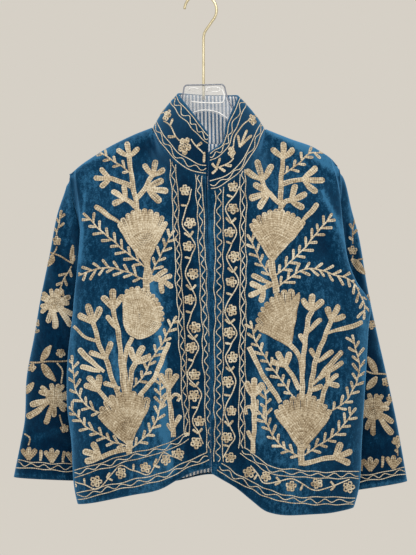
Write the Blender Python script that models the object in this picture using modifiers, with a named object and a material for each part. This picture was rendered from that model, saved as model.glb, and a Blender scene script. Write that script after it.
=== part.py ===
"""Embroidered velvet jacket on a clear hanger, as walls of cloth worked out from its sizes.

The origin is the inside top of the hanger's hook. X runs to the viewer's right, Z up, and the
front faces minus Y. Sides are the wearer's, so the right front is at negative X.
"""
import math
from collections import namedtuple

import bmesh
import bpy
import numpy as np
from mathutils import Matrix

MM = 0.001

# Driving sizes
CLOTH_WALL = 2.2 * MM          # velvet with its turned edges
LINING_WALL = 1.0 * MM         # striped cotton
SEAM_GAP = 0.3 * MM            # between pieces that are sewn or touch
SHOULDER_SEAM = 0.75 * MM      # each side of the shoulder seam, so that the walls' inner edges clear
TIP_SEAM = 1.0 * MM            # added to that at the shoulder tips
SIDE_SEAM = 0.6 * MM           # the back's edge inside the front's
SLEEVE_TUCK = 4.0 * MM         # sleeve head inside the armhole
SLEEVE_BACK_TUCK = 3.0 * MM    # more than that at the back
SLEEVE_TIP_STEP = 1.4 * MM     # added to its step outside the armhole edge, at the shoulder tip
UNDERARM_STEP = 2.5 * MM       # sleeve head behind the armhole's lower end
SHOULDER_ROUND = 10.0 * MM     # how far the cloth rolls over a hanger arm
SETTLE_LENGTH = 62.0 * MM      # how soon the cloth hangs free below its top edge
FRONT_SQUARENESS = 2.8         # how flat a front stays before it turns at the side
BACK_SQUARENESS = 2.4
SHOULDER_SQUARENESS = 6.0      # added to the back's near the shoulders
RETURN_FROM = 0.8              # share of a front's columns before its ridge
TIP_FROM = 165.0 * MM          # from the neck's middle, where the shoulder seam starts to widen
TIP_LENGTH = 25.0 * MM
ROLL_FROM = 0.6                # neck cosine under which a top edge rolls over the hanger's arm

NECK_X = 12.6 * MM             # middle of the neck
NECK_HALF_WIDTH = 85.5 * MM
NECK_BACK_REACH = 30.0 * MM
NECK_BACK_DROP = 12.0 * MM
COLLAR_LIFT = 0.7 * MM         # collar base above the neck edge, at the centre front
COLLAR_SIDE_LIFT = 2.4 * MM    # and this much more at the sides, where it leans in
COLLAR_INSET = 1.4 * MM        # collar base inside the neck edge at the sides
COLLAR_START = -1.0            # degrees from the centre front, the end that laps over
COLLAR_END = 358.0
COLLAR_SWELL = 3.5 * MM

ARMHOLE_HALF_DEPTH = 13.0 * MM
SLEEVE_SEWN = 0.05             # share of the sleeve that still follows the armhole
SLEEVE_FLATNESS = 0.75         # power of the sleeve section's rounding
LINING_HEM = 0.92              # share of the lowest row that the back lining covers
LINING_TOP = 0.25              # share of the shoulder's roll that it reaches into
LINING_NECK = 0.60             # the same at the neck
LINING_COLLAR_BASE = 0.2       # share of the collar lining's lowest row left open

HOOK_WIRE = 4.0 * MM
HOOK_RADIUS = 24.0 * MM        # centre line of the hook's bend
HOOK_STEM_X = 4.5 * MM
HOOK_STEM_END = -157.0 * MM
BORE_LENGTH = 60.0 * MM
HANGER_HALF_THICKNESS = 3.6 * MM
HANGER_EDGE = 1.6 * MM

# Body sections, a row for each height. The ridge is where a front turns at the side; from
# there the wall runs back by "turn" to the side seam or armhole.
BodySection = namedtuple(
    "BodySection", "height ridge_right ridge_left turn_right turn_left ridge_y seam_y front_y back_y")
BODY = [BodySection(*row) for row in (
    (-240, -187, 194, -10, -8, -9, 0, -14, 13),
    (-255, -187, 197, -10, -8, -11, 0, -18, 15),
    (-272, -186, 202, -10, -6, -15, 1, -25, 18),
    (-300, -183, 207, -9, -1, -21, 2, -35, 23),
    (-345, -178, 211, -3, 9, -27, 3, -45, 31),
    (-400, -181, 219, 8, 15, -30, 3, -51, 36),
    (-430, -184, 231, 12, 20, -30, 3, -54, 38),
    (-457, -187, 249, 15, 30, -29, 3, -55, 40),
    (-470, -188, 252, 17, 31, -28, 3, -56, 40),
    (-495, -191, 249, 20, 27, -27, 4, -56, 41),
    (-550, -197, 246, 24, 24, -25, 5, -56, 42),
    (-600, -198, 243, 25, 24, -24, 6, -56, 43),
    (-670, -191, 239, 22, 24, -23, 6, -57, 44),
    (-735, -187, 235, 20, 22, -23, 6, -58, 44),
    (-775, -178, 224, 14, 18, -23, 6, -58, 44),
)]

# What differs between the two fronts; "sleeve_step" is how far the sleeve head stands outside
# the armhole edge
FrontSize = namedtuple(
    "FrontSize",
    "sign neck_z neck_drop neck_power neck_reach edge_top edge_bottom tip_z underarm_z sleeve_step")
RIGHT = FrontSize(-1, -198.4, 75.6, 1.45, 52.0, 9.6, 15.3, -270.0, -457.0, 1.0)
LEFT = FrontSize(1, -200.7, 94.6, 1.8, 56.0, 11.2, 17.1, -256.0, -430.0, 1.9)
NECK_LEVEL = -0.200            # height of the neck points, in metres
EDGE_TOP_Z = -296.0
EDGE_BOTTOM_Z = -700.0

OutlinePoint = namedtuple("OutlinePoint", "x z")
SHOULDER_RIGHT = [OutlinePoint(*row) for row in (
    (-72.9, -198.4), (-100, -209), (-142, -230), (-158, -240), (-180, -255), (-197, -270))]
SHOULDER_LEFT = [OutlinePoint(*row) for row in (
    (98.1, -200.7), (137, -216), (168, -227), (180, -234), (197, -246), (205.5, -256))]
HEM_RIGHT = [OutlinePoint(*row) for row in (
    (16, -700), (-12, -707), (-34, -719), (-53, -729), (-94, -739), (-146, -752), (-190, -760))]
HEM_LEFT = [OutlinePoint(*row) for row in (
    (16, -708), (51, -730), (75, -749), (97, -764), (142, -769), (183, -769), (232, -763))]
HEM_BACK = [OutlinePoint(*row) for row in (
    (-190, -759), (-110, -745), (-36, -734), (15, -726), (60, -735), (130, -752), (232, -763))]

# Soft folds: a ridge (or, with a minus height, a trough) along a line. "ends" is 1 where it
# fades out before the line's lower end and 0 where it runs out at the hem.
Fold = namedtuple("Fold", "panel x_top z_top x_low z_low width height ends")
FOLDS = [Fold(*row) for row in (
    ("front_right", -178, -290, -170, -440, 16, 5, 1),
    ("front_right", -158, -300, -150, -470, 14, -4, 1),
    ("front_right", -62, -520, -76, -760, 22, 8, 0),
    ("front_right", -40, -480, -36, -740, 16, -6, 0),
    ("front_right", -128, -610, -140, -770, 24, -6, 0),
    ("front_left", 190, -290, 226, -440, 14, 6, 1),
    ("front_left", 168, -290, 205, -470, 16, -5, 1),
    ("front_left", 64, -640, 58, -770, 26, -10, 0),
    ("front_left", 120, -600, 130, -780, 28, 6, 0),
    ("front_left", 196, -620, 205, -780, 22, -5, 0),
    ("back", -95, -420, -110, -770, 30, 8, 0),
    ("back", -30, -470, -34, -760, 26, -7, 0),
    ("back", 66, -440, 74, -760, 30, 8, 0),
    ("back", 150, -480, 160, -780, 24, -6, 0),
)]

# Sleeve sections, a row for each step from armhole to cuff
SleeveSection = namedtuple(
    "SleeveSection", "along outer_x outer_z outer_y inner_x inner_z inner_y half_depth")
SLEEVE_RIGHT = [SleeveSection(*row) for row in (
    (0.00, -197, -270, 1, -172, -457, 3, 13),
    (0.03, -201.5, -279, 4, -174.5, -459, 11, 12),
    (0.07, -205, -290, 6, -178, -474, 20, 13),
    (0.17, -218, -328, 10, -181, -502, 25, 15),
    (0.30, -228, -388, 14, -181, -540, 27, 17),
    (0.44, -242, -454, 17, -180, -580, 28, 17),
    (0.58, -252, -512, 19, -178, -620, 28, 17),
    (0.72, -264, -576, 21, -176, -660, 28, 16),
    (0.84, -267, -640, 22, -174, -695, 27, 15),
    (0.91, -273, -674, 20, -173, -710, 26, 16),
    (1.00, -283, -725, 18, -170, -731, 24, 15),
)]
SLEEVE_LEFT = [SleeveSection(*row) for row in (
    (0.00, 205.5, -256, 1, 211, -430, 3, 13),
    (0.03, 211, -266, 4, 214.5, -432, 11, 12),
    (0.07, 217, -278, 6, 220, -449, 21, 13),
    (0.17, 227, -318, 10, 225, -482, 26, 15),
    (0.30, 240, -366, 14, 226, -520, 28, 17),
    (0.44, 252, -436, 16, 226, -560, 28, 17),
    (0.58, 267, -506, 19, 224, -602, 29, 17),
    (0.72, 281, -566, 21, 221, -645, 29, 16),
    (0.86, 298, -645, 21, 217, -695, 27, 15),
    (1.00, 313, -731, 18, 211, -748, 24, 15),
)]
# Creases round a sleeve: "around" is the turn they are strongest at, from the outer edge
SleeveCrease = namedtuple("SleeveCrease", "sleeve along slant around spread width depth")
SLEEVE_CREASES = [SleeveCrease(*row) for row in (
    ("right", 0.86, 0.03, 90, 120, 0.045, 5),
    ("right", 0.42, -0.05, 60, 90, 0.06, 4),
    ("right", 0.20, 0.06, 90, 90, 0.05, 4),
    ("left", 0.60, 0.05, 80, 90, 0.06, 4),
    ("left", 0.80, -0.04, 100, 110, 0.05, 4),
    ("left", 0.24, -0.05, 60, 80, 0.05, 4),
)]

# Top edge of the stand collar, a row for each turn from the centre front past the wearer's left
CollarTop = namedtuple("CollarTop", "turn x y z")
COLLAR_TOP = [CollarTop(*row) for row in (
    (-1, 12.5, -47, -240),
    (30, 33, -41, -223),
    (58, 38, -28, -197),
    (92, 57, 0, -151),
    (135, 42, 18, -147),
    (180, 12, 24, -146),
    (225, -18, 18, -145),
    (268, -34, 0, -147),
    (315, -11, -29, -180),
    (358, 11, -42, -212),
)]

# Clear hanger: its top edge between the shoulders, and the arch under its middle
PLATE_TOP = [OutlinePoint(*row) for row in (
    (-59, -205), (-43, -189), (-33, -168), (-28, -153), (-25, -137), (-22, -134.5),
    (33.5, -133.5), (36.5, -136), (41, -153), (48, -168), (61, -190), (82, -207))]
ARCH = [OutlinePoint(*row) for row in (
    (45, -190), (26, -178), (7, -174), (-10, -178), (-26, -190))]
ARM_NECK_X = 6.0 * MM          # an arm's top edge starts this far outside the neck point
ARM_TIP_X = 34.0 * MM          # and stops this far inside the shoulder tip
ARM_END = 7.0 * MM             # length of its pointed end
ARM_DEEP = 20.0 * MM
ARM_SHALLOW = 12.0 * MM
ARM_REST = 0.8 * MM            # under the shoulder wall
ARM_STEPS = 8

# Hook: from the bend's end down to its straight stem
HOOK_TIP = 176.0               # degrees round the bend
HOOK_BEND_END = -42.0
HOOK_STEPS = 23
HOOK_LOW = [OutlinePoint(*row) for row in ((12.8, -45.5), (8.5, -51.5), (5.6, -57), (4.5, -64))]

# Mesh steps
NECK_STEPS = 10                # one each 9 degrees, as on the collar
SHOULDER_STEPS = 6
RETURN_STEPS = 3
ROWS_BELOW_TOP = (0.0, 0.0012, 0.004, 0.009)
ROWS_DOWN = 15
SLEEVE_TURNS = 20
SLEEVE_HEAD = (0.0, 0.03, 0.065)
SLEEVE_FROM = 0.11
SLEEVE_ROWS = 15
COLLAR_ROWS = 3
BACK_NECK_STEPS = 10
BACK_SIDE_STEPS = 6


def smooth_through(keys, values):
    """Curve through table rows that never overshoots them, and holds its end values."""
    order = np.argsort(keys)
    k = np.asarray(keys, float)[order]
    v = np.asarray(values, float)[order]
    step = np.diff(k)
    slope = np.diff(v) / step
    tangent = np.concatenate([slope[:1], 0.5 * (slope[:-1] + slope[1:]), slope[-1:]])
    inner = slope[:-1] * slope[1:]
    limit = 3.0 * np.minimum(np.abs(slope[:-1]), np.abs(slope[1:]))
    tangent[1:-1] = np.where(inner <= 0, 0.0, np.clip(tangent[1:-1], -limit, limit))

    def at(x):
        x = np.clip(np.asarray(x, float), k[0], k[-1])
        i = np.clip(np.searchsorted(k, x, side="right") - 1, 0, len(k) - 2)
        h = step[i]
        f = (x - k[i]) / h
        start = v[i] * (1 + 2 * f) * (1 - f) ** 2 + tangent[i] * h * f * (1 - f) ** 2
        return start + v[i + 1] * f * f * (3 - 2 * f) - tangent[i + 1] * h * f * f * (1 - f)

    return at


def column(rows, key, name):
    """One column of a table in millimetres as a curve in metres."""
    keys = [getattr(row, key) for row in rows]
    scale = MM if key in ("height", "x") else 1.0
    return smooth_through(np.array(keys) * scale, np.array([getattr(row, name) for row in rows]) * MM)


def ease(f):
    """Smooth step from 0 to 1."""
    f = np.clip(f, 0.0, 1.0)
    return f * f * (3 - 2 * f)


ridge_right = column(BODY, "height", "ridge_right")
ridge_left = column(BODY, "height", "ridge_left")
turn_right = column(BODY, "height", "turn_right")
turn_left = column(BODY, "height", "turn_left")
ridge_depth = column(BODY, "height", "ridge_y")
seam_depth = column(BODY, "height", "seam_y")
front_depth = column(BODY, "height", "front_y")
back_depth = column(BODY, "height", "back_y")
shoulder_right = column(SHOULDER_RIGHT, "x", "z")
shoulder_left = column(SHOULDER_LEFT, "x", "z")
hem_right = column(HEM_RIGHT, "x", "z")
hem_left = column(HEM_LEFT, "x", "z")
hem_back = column(HEM_BACK, "x", "z")
collar_top_x = column(COLLAR_TOP, "turn", "x")
collar_top_y = column(COLLAR_TOP, "turn", "y")
collar_top_z = column(COLLAR_TOP, "turn", "z")


def ridge_x(side, z):
    return ridge_right(z) if side.sign < 0 else ridge_left(z)


def seam_x(side, z):
    """Side seam and armhole line, inside the ridge by the turn."""
    turn = turn_right(z) if side.sign < 0 else turn_left(z)
    return ridge_x(side, z) - side.sign * turn


def centre_edge_x(side, z):
    """Centre-front edge, a straight line."""
    f = (np.asarray(z) - EDGE_TOP_Z * MM) / ((EDGE_BOTTOM_Z - EDGE_TOP_Z) * MM)
    return (side.edge_top + (side.edge_bottom - side.edge_top) * f) * MM


def armhole_open(side, z):
    """Half the armhole's width at a height, the same curve as the sleeve's first section."""
    middle = 0.5 * (side.tip_z + side.underarm_z) * MM
    half = 0.5 * (side.tip_z - side.underarm_z) * MM
    c = np.clip(np.abs((np.asarray(z) - middle) / half), 0.0, 1.0) ** (1 / SLEEVE_FLATNESS)
    return ARMHOLE_HALF_DEPTH * np.sqrt(1 - c * c) ** SLEEVE_FLATNESS


def neck_cosine(x):
    return np.sqrt(np.clip(1 - ((np.asarray(x) - NECK_X) / NECK_HALF_WIDTH) ** 2, 0.0, 1.0))


def seam_room(x):
    """Half the room at the shoulder seam, more at the tips where the cloth is narrow."""
    return SHOULDER_SEAM + TIP_SEAM * ease((np.abs(x - NECK_X) - TIP_FROM) / TIP_LENGTH)


def front_top(side, x):
    """Height, depth and roll of a front's top edge: the neck, then the shoulder seam."""
    c = neck_cosine(x)
    in_neck = side.sign * (x - NECK_X) < NECK_HALF_WIDTH
    neck_z = (side.neck_z - side.neck_drop * c ** side.neck_power) * MM
    shoulder = shoulder_right(x) if side.sign < 0 else shoulder_left(x)
    z = np.where(in_neck, neck_z, shoulder)
    y = np.where(in_neck, -side.neck_reach * MM * c, 0.0) - seam_room(x)
    roll = ease((ROLL_FROM - c) / ROLL_FROM)
    return z, y, roll


def back_top(x):
    """The same for the back, across both shoulders."""
    c = neck_cosine(x)
    in_neck = np.abs(x - NECK_X) < NECK_HALF_WIDTH
    f = np.clip((x - NECK_X) / NECK_HALF_WIDTH * 0.5 + 0.5, 0, 1)
    neck_z = (RIGHT.neck_z + (LEFT.neck_z - RIGHT.neck_z) * f) * MM - NECK_BACK_DROP * c ** 1.5
    z = np.where(in_neck, neck_z, np.where(x < NECK_X, shoulder_right(x), shoulder_left(x)))
    y = np.where(in_neck, NECK_BACK_REACH * c, 0.0) + seam_room(x)
    roll = ease((ROLL_FROM - c) / ROLL_FROM)
    return z, y, roll


def hang(top_y, free_y, below, roll):
    """Depth of cloth below its top edge: it rolls over the arm, then settles to its free depth."""
    full = free_y - top_y
    rolled = np.sign(full) * np.minimum(np.abs(full), SHOULDER_ROUND) * roll
    quarter = np.sqrt(1 - (1 - np.clip(below / SHOULDER_ROUND, 0, 1)) ** 2)
    return top_y + rolled * quarter + (full - rolled) * (1 - np.exp(-(below / SETTLE_LENGTH) ** 1.5))


def fold_height(panel, x, z):
    """Sum of a panel's folds: a bell across each line, faded in from its upper end."""
    total = np.zeros_like(x)
    for fold in FOLDS:
        if fold.panel == panel:
            k = (fold.z_top * MM - z) / ((fold.z_top - fold.z_low) * MM)
            line = (fold.x_top + (fold.x_low - fold.x_top) * np.clip(k, 0, 1.1)) * MM
            bell = np.exp(-((x - line) / (fold.width * MM)) ** 2)
            fade = ease(k / 0.45) * (1 - fold.ends * ease((k - 0.6) / 0.4))
            total = total + fold.height * MM * bell * fade
    return total


def front_x(side, s, z):
    """Across a front: s up to RETURN_FROM runs to the ridge, the rest turns back to the seam."""
    edge = centre_edge_x(side, z)
    f = np.clip(s / RETURN_FROM, 0, 1)
    q = np.clip((s - RETURN_FROM) / (1 - RETURN_FROM), 0, 1) * math.pi / 2
    ridge = ridge_x(side, z)
    return edge + (ridge - edge) * f + (seam_x(side, z) - ridge) * (1 - np.cos(q))


def front_y(side, s, x, z, top):
    """Depth of a front at (s, z)."""
    top_z, top_y, roll = top
    f = np.clip(s / RETURN_FROM, 0, 1)
    q = np.clip((s - RETURN_FROM) / (1 - RETURN_FROM), 0, 1) * math.pi / 2
    crown = np.sqrt(np.clip(1 - f ** FRONT_SQUARENESS, 0, 1))
    ridge_y = ridge_depth(z)
    end_y = seam_depth(z) - armhole_open(side, z) - 0.5 * SEAM_GAP
    free = ridge_y + (front_depth(z) - ridge_y) * crown + (end_y - ridge_y) * np.sin(q)
    name = "front_right" if side.sign < 0 else "front_left"
    free = free - fold_height(name, x, z) * crown
    return hang(top_y, free, np.maximum(top_z - z, 0), roll)


def front_grid(side):
    """Points of a front: columns from centre edge to seam, rows from hem to top."""
    neck_x = NECK_X + side.sign * NECK_HALF_WIDTH
    edge = centre_edge_x(side, side.neck_z * MM)
    neck_s = RETURN_FROM * (neck_x - edge) / (ridge_x(side, side.neck_z * MM) - edge)
    start = np.clip((edge - NECK_X) / NECK_HALF_WIDTH * side.sign, -1, 1)
    turns = np.sin(np.linspace(0, math.pi / 2, NECK_STEPS + 1))
    turns[0] = start
    near = neck_s * (turns - start) / (1 - start)
    out = neck_s + (RETURN_FROM - neck_s) * (1 - (1 - np.linspace(0, 1, SHOULDER_STEPS + 1)) ** 1.5)
    turn = np.linspace(RETURN_FROM, 1, RETURN_STEPS + 1)
    s = np.concatenate([near, out[1:], turn[1:]])
    top_z = np.full_like(s, side.neck_z * MM)
    low_z = np.full_like(s, EDGE_BOTTOM_Z * MM)
    for _ in range(30):
        top_z = 0.5 * top_z + 0.5 * front_top(side, front_x(side, s, top_z))[0]
        hem = hem_right if side.sign < 0 else hem_left
        low_z = hem(front_x(side, s, low_z))
    z = rows_between(top_z, low_z)
    s = np.broadcast_to(s, z.shape)
    x = front_x(side, s, z)
    top = front_top(side, front_x(side, s[0], top_z))
    y = front_y(side, s, x, z, tuple(np.broadcast_to(v, z.shape) for v in top))
    return np.stack([x, y, z], -1)[::-1]


def rows_between(top_z, low_z):
    """Row heights down each column, close together just below the top edge."""
    near = np.array(ROWS_BELOW_TOP)[:, None]
    first = top_z - near[-1]
    rest = np.linspace(0, 1, ROWS_DOWN + 1)[1:, None]
    return np.concatenate([top_z - near, first + (low_z - first) * rest])


def back_free(x, z):
    """Depth at which the back hangs free."""
    right = seam_x(RIGHT, z) + SIDE_SEAM
    left = seam_x(LEFT, z) - SIDE_SEAM
    across = np.clip(np.abs((x - 0.5 * (left + right)) / (0.5 * (left - right))), 0, 1)
    opened = np.where(x < NECK_X, armhole_open(RIGHT, z), armhole_open(LEFT, z))
    end_y = seam_depth(z) + opened + 0.5 * SEAM_GAP
    square = BACK_SQUARENESS + SHOULDER_SQUARENESS * ease((z - NECK_LEVEL + 0.14) / 0.08)
    crown = np.clip(1 - across ** square, 0, 1) ** 0.75
    return end_y + (np.maximum(back_depth(z), end_y) - end_y + fold_height("back", x, z)) * crown


def back_neck_share():
    """Share of the back's half width that the neck takes."""
    return NECK_HALF_WIDTH / (0.5 * (seam_x(LEFT, NECK_LEVEL) - seam_x(RIGHT, NECK_LEVEL)))


def back_columns():
    """Shares of the back's half width, from the left seam to the right one."""
    neck = back_neck_share()
    near = neck * np.sin(np.linspace(0, math.pi / 2, BACK_NECK_STEPS + 1))
    out = neck + (1 - neck) * np.linspace(0, 1, BACK_SIDE_STEPS + 1) ** 0.85
    half = np.concatenate([near, out[1:]])
    return np.concatenate([half[::-1], -half[1:]])


def back_x(share, z):
    """Across the back: evenly between the seams, and by the neck points near the top."""
    left = seam_x(LEFT, z) - SIDE_SEAM
    right = seam_x(RIGHT, z) + SIDE_SEAM
    even = 0.5 * (left + right) + share * 0.5 * (left - right)
    neck = back_neck_share()
    beyond = np.clip((np.abs(share) - neck) / (1 - neck), 0, 1)
    point = NECK_X + np.clip(share / neck, -1, 1) * NECK_HALF_WIDTH
    by_neck = point + (np.where(share > 0, left, right) - point) * beyond
    return even + (by_neck - even) * ease((z - NECK_LEVEL + 0.22) / 0.20)


def back_grid():
    """Points of the back, columns from the left seam to the right one and rows from hem to top,
    with the roll of each column's top edge."""
    share = back_columns()
    top_z = np.full_like(share, NECK_LEVEL)
    low_z = np.full_like(share, EDGE_BOTTOM_Z * MM)
    for _ in range(30):
        top_z = 0.5 * top_z + 0.5 * back_top(back_x(share, top_z))[0]
        low_z = hem_back(back_x(share, low_z))
    top = back_top(back_x(share, top_z))
    z = rows_between(top_z, low_z)
    x = back_x(share, z)
    y = hang(top[1], back_free(x, z), np.maximum(top[0] - z, 0), top[2])
    return np.stack([x, y, z], -1)[::-1], top[2]


def back_lining_grid(back, roll):
    """The back's own points moved in, up to the neck edge but clear of the hanger's arms."""
    inner = back - grid_normals(back) * (CLOTH_WALL + 1.7 * SEAM_GAP)
    below = len(ROWS_BELOW_TOP)
    reach = (LINING_TOP + (LINING_NECK - LINING_TOP) * (1 - roll))[:, None]
    last = inner[-below] + (inner[-1] - inner[-below]) * reach
    rows = np.concatenate([inner[:1 - below], last[None]])
    hem = rows[1] + (rows[0] - rows[1]) * LINING_HEM
    return np.concatenate([hem[None], rows[1:]])[:, 1:-1]


def sleeve_grid(side, rows, name):
    """Points of a sleeve: turns round the tube, rows from cuff to armhole."""
    t = np.concatenate([SLEEVE_HEAD, np.linspace(SLEEVE_FROM, 1, SLEEVE_ROWS)])[:, None]
    a = np.linspace(0, 2 * math.pi, SLEEVE_TURNS + 1)[None, :-1] * -side.sign
    c = np.sign(np.cos(a)) * np.abs(np.cos(a)) ** SLEEVE_FLATNESS
    d = np.sign(np.sin(a)) * np.abs(np.sin(a)) ** SLEEVE_FLATNESS * -side.sign
    size = {key: column(rows, "along", key)(t) for key in SleeveSection._fields[1:]}

    def along(key):
        return 0.5 * (size["outer_" + key] + size["inner_" + key]) + 0.5 * (
            size["outer_" + key] - size["inner_" + key]) * c

    x, y, z = along("x"), along("y"), along("z")
    sewn = 1 - ease(t / SLEEVE_SEWN)
    step = side.sleeve_step * MM + SLEEVE_TIP_STEP * np.clip(c, 0, 1) ** 4
    x = x + (seam_x(side, z) + side.sign * step - x) * sewn
    y = y + (seam_depth(z) + UNDERARM_STEP * 0.5 * (1 - c) - y) * sewn
    depth = size["half_depth"] - (SLEEVE_TUCK + SLEEVE_BACK_TUCK * (d < 0)) * sewn
    around = np.degrees(np.arccos(np.clip(np.cos(a), -1, 1)))
    for crease in SLEEVE_CREASES:
        if crease.sleeve == name:
            centre = crease.along + crease.slant * c
            bell = np.exp(-((t - centre) / crease.width) ** 2)
            bell = bell * np.exp(-((around - crease.around) / crease.spread) ** 2)
            depth = depth - crease.depth * MM * bell * (d > 0)
    y = y - depth * d
    return np.stack([x, y, z], -1)[::-1]


def collar_point(turn, up):
    """Stand collar: from the neck edge straight up to its top edge, with a slight swell."""
    angle = np.radians(turn)
    s, c = np.sin(angle), np.cos(angle)
    left = (s >= 0) | (turn < 0)
    drop = np.where(left, LEFT.neck_drop, RIGHT.neck_drop) * MM
    power = np.where(left, LEFT.neck_power, RIGHT.neck_power)
    reach = np.where(left, LEFT.neck_reach, RIGHT.neck_reach) * MM
    front = np.clip(c, 0, 1)
    behind = np.clip(-c, 0, 1)
    share = np.where(c > 0, left.astype(float), 0.5 + 0.5 * s)
    level = (RIGHT.neck_z + (LEFT.neck_z - RIGHT.neck_z) * share) * MM
    x = NECK_X + (NECK_HALF_WIDTH - COLLAR_INSET) * s
    y = -reach * front + NECK_BACK_REACH * behind
    z = level - drop * front ** power - NECK_BACK_DROP * behind ** 1.5
    z = z + COLLAR_LIFT + COLLAR_SIDE_LIFT * np.abs(s)
    swell = COLLAR_SWELL * np.sin(math.pi * up)
    x = x + (collar_top_x(turn) - x) * up + swell * s
    y = y + (collar_top_y(turn) - y) * up - swell * c
    z = z + (collar_top_z(turn) - z) * up
    return np.stack(np.broadcast_arrays(x, y, z), -1)


def collar_turns(left, back, right):
    """Turns of the collar's columns, one at each column of the three panels' neck edges."""
    def turn(x):
        return np.degrees(np.arcsin(np.clip((x - NECK_X) / NECK_HALF_WIDTH, -1, 1)))
    behind = 180 - turn(back[-1, BACK_SIDE_STEPS + 1:-BACK_SIDE_STEPS - 1, 0])
    near = turn(left[-1, :NECK_STEPS + 1, 0])
    far = 360 + turn(right[-1, NECK_STEPS::-1, 0])
    near[0] = COLLAR_START
    far[-1] = COLLAR_END
    return np.concatenate([near, behind, far])


def grid_normals(points):
    """Unit normals of a grid of points, the way its columns cross its rows."""
    normal = np.cross(np.gradient(points, axis=1), np.gradient(points, axis=0))
    return normal / np.linalg.norm(normal, axis=-1, keepdims=True)


def make_material(name, colour, roughness, metallic):
    """Plain Principled material."""
    material = bpy.data.materials.new(name)
    material.use_nodes = True
    shader = material.node_tree.nodes["Principled BSDF"]
    shader.inputs["Base Color"].default_value = (*colour, 1.0)
    shader.inputs["Roughness"].default_value = roughness
    shader.inputs["Metallic"].default_value = metallic
    return material


def place(data, name, collection, material):
    """Object at the origin with its own material."""
    obj = bpy.data.objects.new(name, data)
    obj.data.materials.append(material)
    collection.objects.link(obj)
    return obj


def cloth(name, points, wall, collection, material, closed=False):
    """Open sheet through a grid of points, thickened inward."""
    rows, columns = points.shape[:2]
    sheet = bmesh.new()
    verts = [sheet.verts.new(p) for p in points.reshape(-1, 3)]
    for r in range(rows - 1):
        for c in range(columns if closed else columns - 1):
            d = (c + 1) % columns
            sheet.faces.new((verts[r * columns + c], verts[r * columns + d],
                             verts[(r + 1) * columns + d], verts[(r + 1) * columns + c]))
    mesh = bpy.data.meshes.new(name)
    sheet.to_mesh(mesh)
    sheet.free()
    obj = place(mesh, name, collection, material)
    thick = obj.modifiers.new("wall", "SOLIDIFY")
    thick.thickness = wall
    thick.offset = -1.0
    thick.use_quality_normals = True
    return obj


def wire(name, points, diameter, collection, material):
    """Round wire along a line of points."""
    curve = bpy.data.curves.new(name, "CURVE")
    curve.dimensions = "3D"
    curve.bevel_depth = diameter / 2
    curve.bevel_resolution = 2
    curve.use_fill_caps = True
    spline = curve.splines.new("POLY")
    spline.points.add(len(points) - 1)
    for target, p in zip(spline.points, points):
        target.co = (*p, 1.0)
    return place(curve, name, collection, material)


def hook_line():
    """Hook: a bend round its centre from the tip over the top, then down to the stem."""
    centre_z = -(HOOK_RADIUS - HOOK_WIRE / 2)
    turns = np.radians(np.linspace(HOOK_TIP, HOOK_BEND_END, HOOK_STEPS))
    low_x = [p.x * MM for p in HOOK_LOW] + [HOOK_STEM_X]
    low_z = [p.z * MM for p in HOOK_LOW] + [HOOK_STEM_END]
    x = np.concatenate([HOOK_RADIUS * np.cos(turns), low_x])
    z = np.concatenate([centre_z + HOOK_RADIUS * np.sin(turns), low_z])
    return np.stack([x, np.zeros_like(x), z], 1)


def arm_top(side, x):
    """Top of a hanger arm, resting just under the shoulder's wall."""
    shoulder = shoulder_right(x) if side.sign < 0 else shoulder_left(x)
    return shoulder - CLOTH_WALL * 1.12 - ARM_REST


def hanger_outline():
    """Outline of the clear hanger in its own plane, going round from the plate's top left."""
    plate = [(p.x * MM, p.z * MM) for p in PLATE_TOP]
    halves = []
    for side in (LEFT, RIGHT):
        neck = NECK_X + side.sign * (NECK_HALF_WIDTH + ARM_NECK_X)
        tip = (SHOULDER_RIGHT if side.sign < 0 else SHOULDER_LEFT)[-1].x * MM - side.sign * ARM_TIP_X
        xs = np.linspace(neck, tip, ARM_STEPS)
        upper = np.stack([xs, arm_top(side, xs)], 1)
        f = np.linspace(0, 1, ARM_STEPS)[:, None]
        lower = upper - np.concatenate([0 * f, ARM_DEEP + (ARM_SHALLOW - ARM_DEEP) * f], 1)
        end = 0.5 * (upper[-1] + lower[-1]) + np.array([side.sign * ARM_END, 0])
        halves.append(np.concatenate([upper, end[None], lower[::-1]]))
    arch = [(p.x * MM, p.z * MM) for p in ARCH]
    return np.concatenate([np.array(plate), halves[0], np.array(arch), halves[1][::-1]])


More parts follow.
